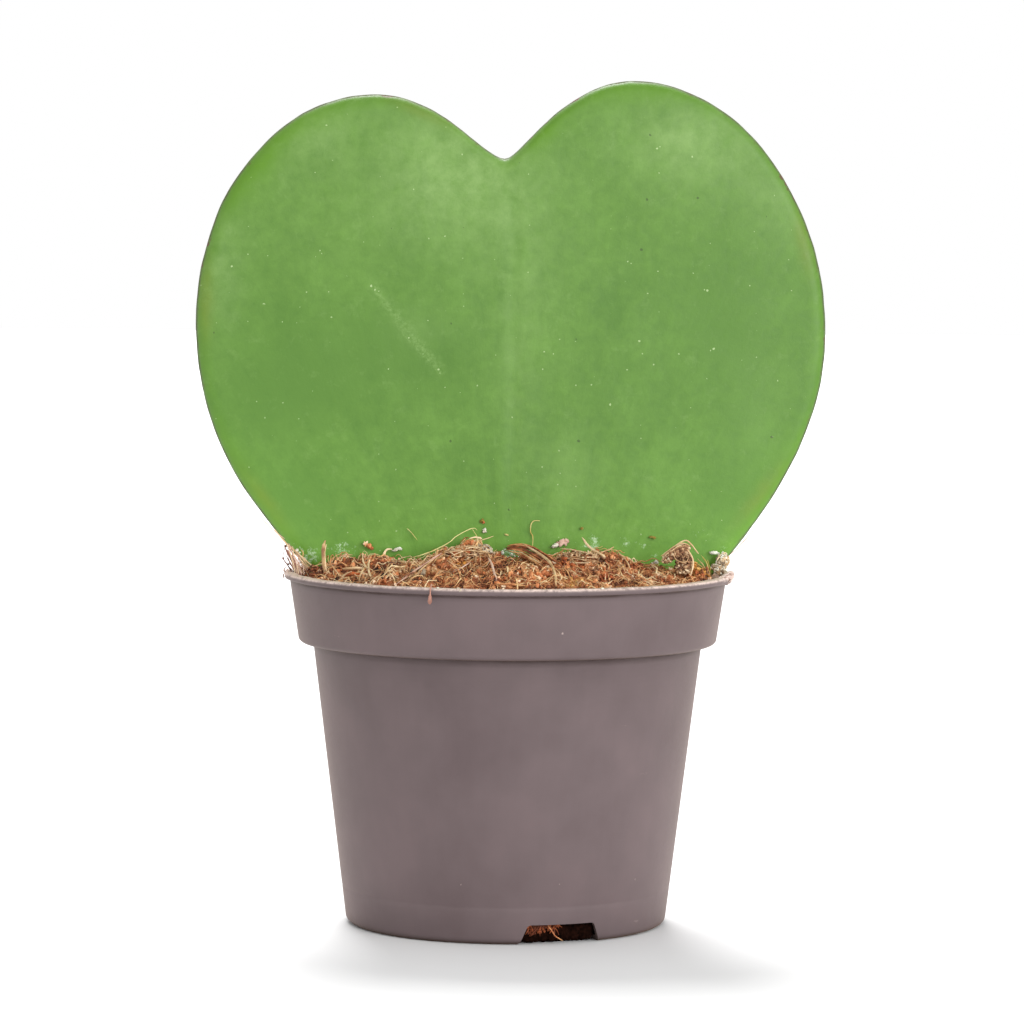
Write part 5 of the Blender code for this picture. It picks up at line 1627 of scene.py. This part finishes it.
def makeNotchCoir(draw):
    shreds, plugs = newHeap(), newHeap()
    inside = wallRadius(0.0) - pot["wall"]
    plugSize = [part * mm for part in notchFill["plugSize"]]
    middle = (notchFill["plugs"] - 1) / 2
    for degrees in pot["notchAngles"]:
        turn = Matrix.Rotation(math.radians(degrees), 3, "Z")
        for k in range(notchFill["plugs"]):
            along = (k - middle) * notchFill["plugGap"] * mm
            spot = turn @ Vector((draw.uniform(19.2, 19.6) * mm, along, 1.45 * mm))
            addLump(plugs, draw, spot, plugSize, 0.1, 3, 0.10, turn.to_euler())
        for _ in range(notchFill["shreds"]):
            along = draw.uniform(-4.4, -0.4) * mm
            top = draw.uniform(2.0, 2.9) * mm
            out = inside - draw.uniform(0.1, 0.8) * mm
            drop, slide = draw.uniform(0.3, 1.2) * mm, draw.uniform(-1.2, 1.2) * mm
            path = []
            for share in taper((0, 1), 6):
                bow = 0.2 * mm * math.sin(3 * share)
                path.append(turn @ Vector((out + bow, along + slide * share, top - drop * share * share)))
            thick = draw.uniform(*notchFill["shredRadius"]) * mm
            addStrand(shreds, path, [thick] * 6, 4, draw.uniform(-0.3, 0.25))
        for _ in range(notchFill["crumbs"]):
            along = draw.uniform(-4.6, -0.2) * mm
            size = draw.uniform(*notchFill["crumbSize"]) * mm
            low = 1.2 + 0.35 * (along / mm + 4.6) / 2
            spot = Vector((inside - draw.uniform(0.2, 0.9) * mm, along, draw.uniform(low, 2.9) * mm))
            addLump(shreds, draw, turn @ spot, (size, size, size), draw.uniform(-0.3, 0.3), 2, 0.9)
    # dull near-black coir as painted shade inside the notch
    paintedShade, tree, shader = newMaterial("notchPlug", Roughness=1.0, Specular_IOR_Level=0.0)
    shade = grain(tree, inMillimetres(tree), 0.5, 4.0, 0.7)
    plug(tree, shader.inputs["Base Color"], colourRun(tree, shade, notchFill["paintedShade"]))
    coirPiece(plugs, "notchPlugs", paintedShade)
    coirPiece(shreds, "notchCoir", coirMaterial("notchCoir", "rust", 0.4))


# floor, light and camera
studio = {
    "floorSize": 6.0,
    "floor": paint(216, 216, 216),
    "floorPale": paint(226, 226, 226),
    "floorClouds": 0.2,
    "sky": 1.0,
    "key": {"from": (0.62, -0.80, 0.15), "softness": 45, "strength": 3.0},     # right of the camera, low
    "top": {"from": (-0.09, 0.75, 1.10), "softness": 25, "strength": 4.5},     # above and behind
    "cameraAt": (0.0, -0.620, 0.0959),
    "cameraDown": 0.0653,
    "cameraTurn": 0.0008,
    "cameraRoll": 0.0072,
    "lens": 162.32,
}


def makeStudio():
    size = studio["floorSize"] / 2
    mesh = bpy.data.meshes.new("studioFloor")
    corners = [(-size, -size, 0), (size, -size, 0), (size, size, 0), (-size, size, 0)]
    mesh.from_pydata(corners, [], [(0, 1, 2, 3)])
    floor = bpy.data.objects.new("studioFloor", mesh)
    bpy.context.scene.collection.objects.link(floor)
    material, tree, shader = newMaterial("studioPaper", Roughness=0.9, Specular_IOR_Level=0.0)
    shade = grain(tree, inMillimetres(tree), 60.0, 2.0)
    paper = coat(tree, studio["floor"], studio["floorPale"], shade, studio["floorClouds"])
    plug(tree, shader.inputs["Base Color"], paper)
    mesh.materials.append(material)
    world = bpy.data.worlds.new("studioSky")
    world.use_nodes = True
    sky = world.node_tree.nodes["Background"]
    sky.inputs["Color"].default_value = (1, 1, 1, 1)
    sky.inputs["Strength"].default_value = studio["sky"]
    bpy.context.scene.world = world
    for name in ("key", "top"):
        look = studio[name]
        light = bpy.data.lights.new(name + "Light", "SUN")
        light.angle = math.radians(look["softness"])
        light.energy = look["strength"]
        lamp = bpy.data.objects.new(name + "Light", light)
        lamp.location = look["from"]
        lamp.rotation_mode = "QUATERNION"
        lamp.rotation_quaternion = (-lamp.location).to_track_quat("-Z", "Y")
        bpy.context.scene.collection.objects.link(lamp)


def makeCamera():
    down, turn, roll = studio["cameraDown"], studio["cameraTurn"], studio["cameraRoll"]
    ahead = Vector((math.sin(turn) * math.cos(down), math.cos(turn) * math.cos(down), -math.sin(down)))
    level = Vector((math.cos(turn), -math.sin(turn), 0))
    above = level.cross(ahead)
    right = level * math.cos(roll) + above * math.sin(roll)
    up = above * math.cos(roll) - level * math.sin(roll)
    turned = Matrix((right, up, -ahead)).transposed().to_4x4()
    lens = bpy.data.cameras.new("studioCamera")
    lens.lens = studio["lens"]
    lens.sensor_width = 36
    lens.clip_start = 0.01
    camera = bpy.data.objects.new("studioCamera", lens)
    camera.matrix_world = Matrix.Translation(studio["cameraAt"]) @ turned
    bpy.context.scene.collection.objects.link(camera)
    bpy.context.scene.camera = camera
    bpy.context.scene.view_settings.view_transform = "Standard"


print("pot")
makePot()
print("leaf")
makeLeaf()
makeStalk()
print("coir mix")
makeMixBody()
mixDraw = random.Random(mix["seed"])
makeScatter(mixDraw)
makePiles(mixDraw)
makeTangles(mixDraw)
makeLoosePieces(mixDraw)
makeNotchCoir(mixDraw)
print("studio")
makeStudio()
makeCamera()
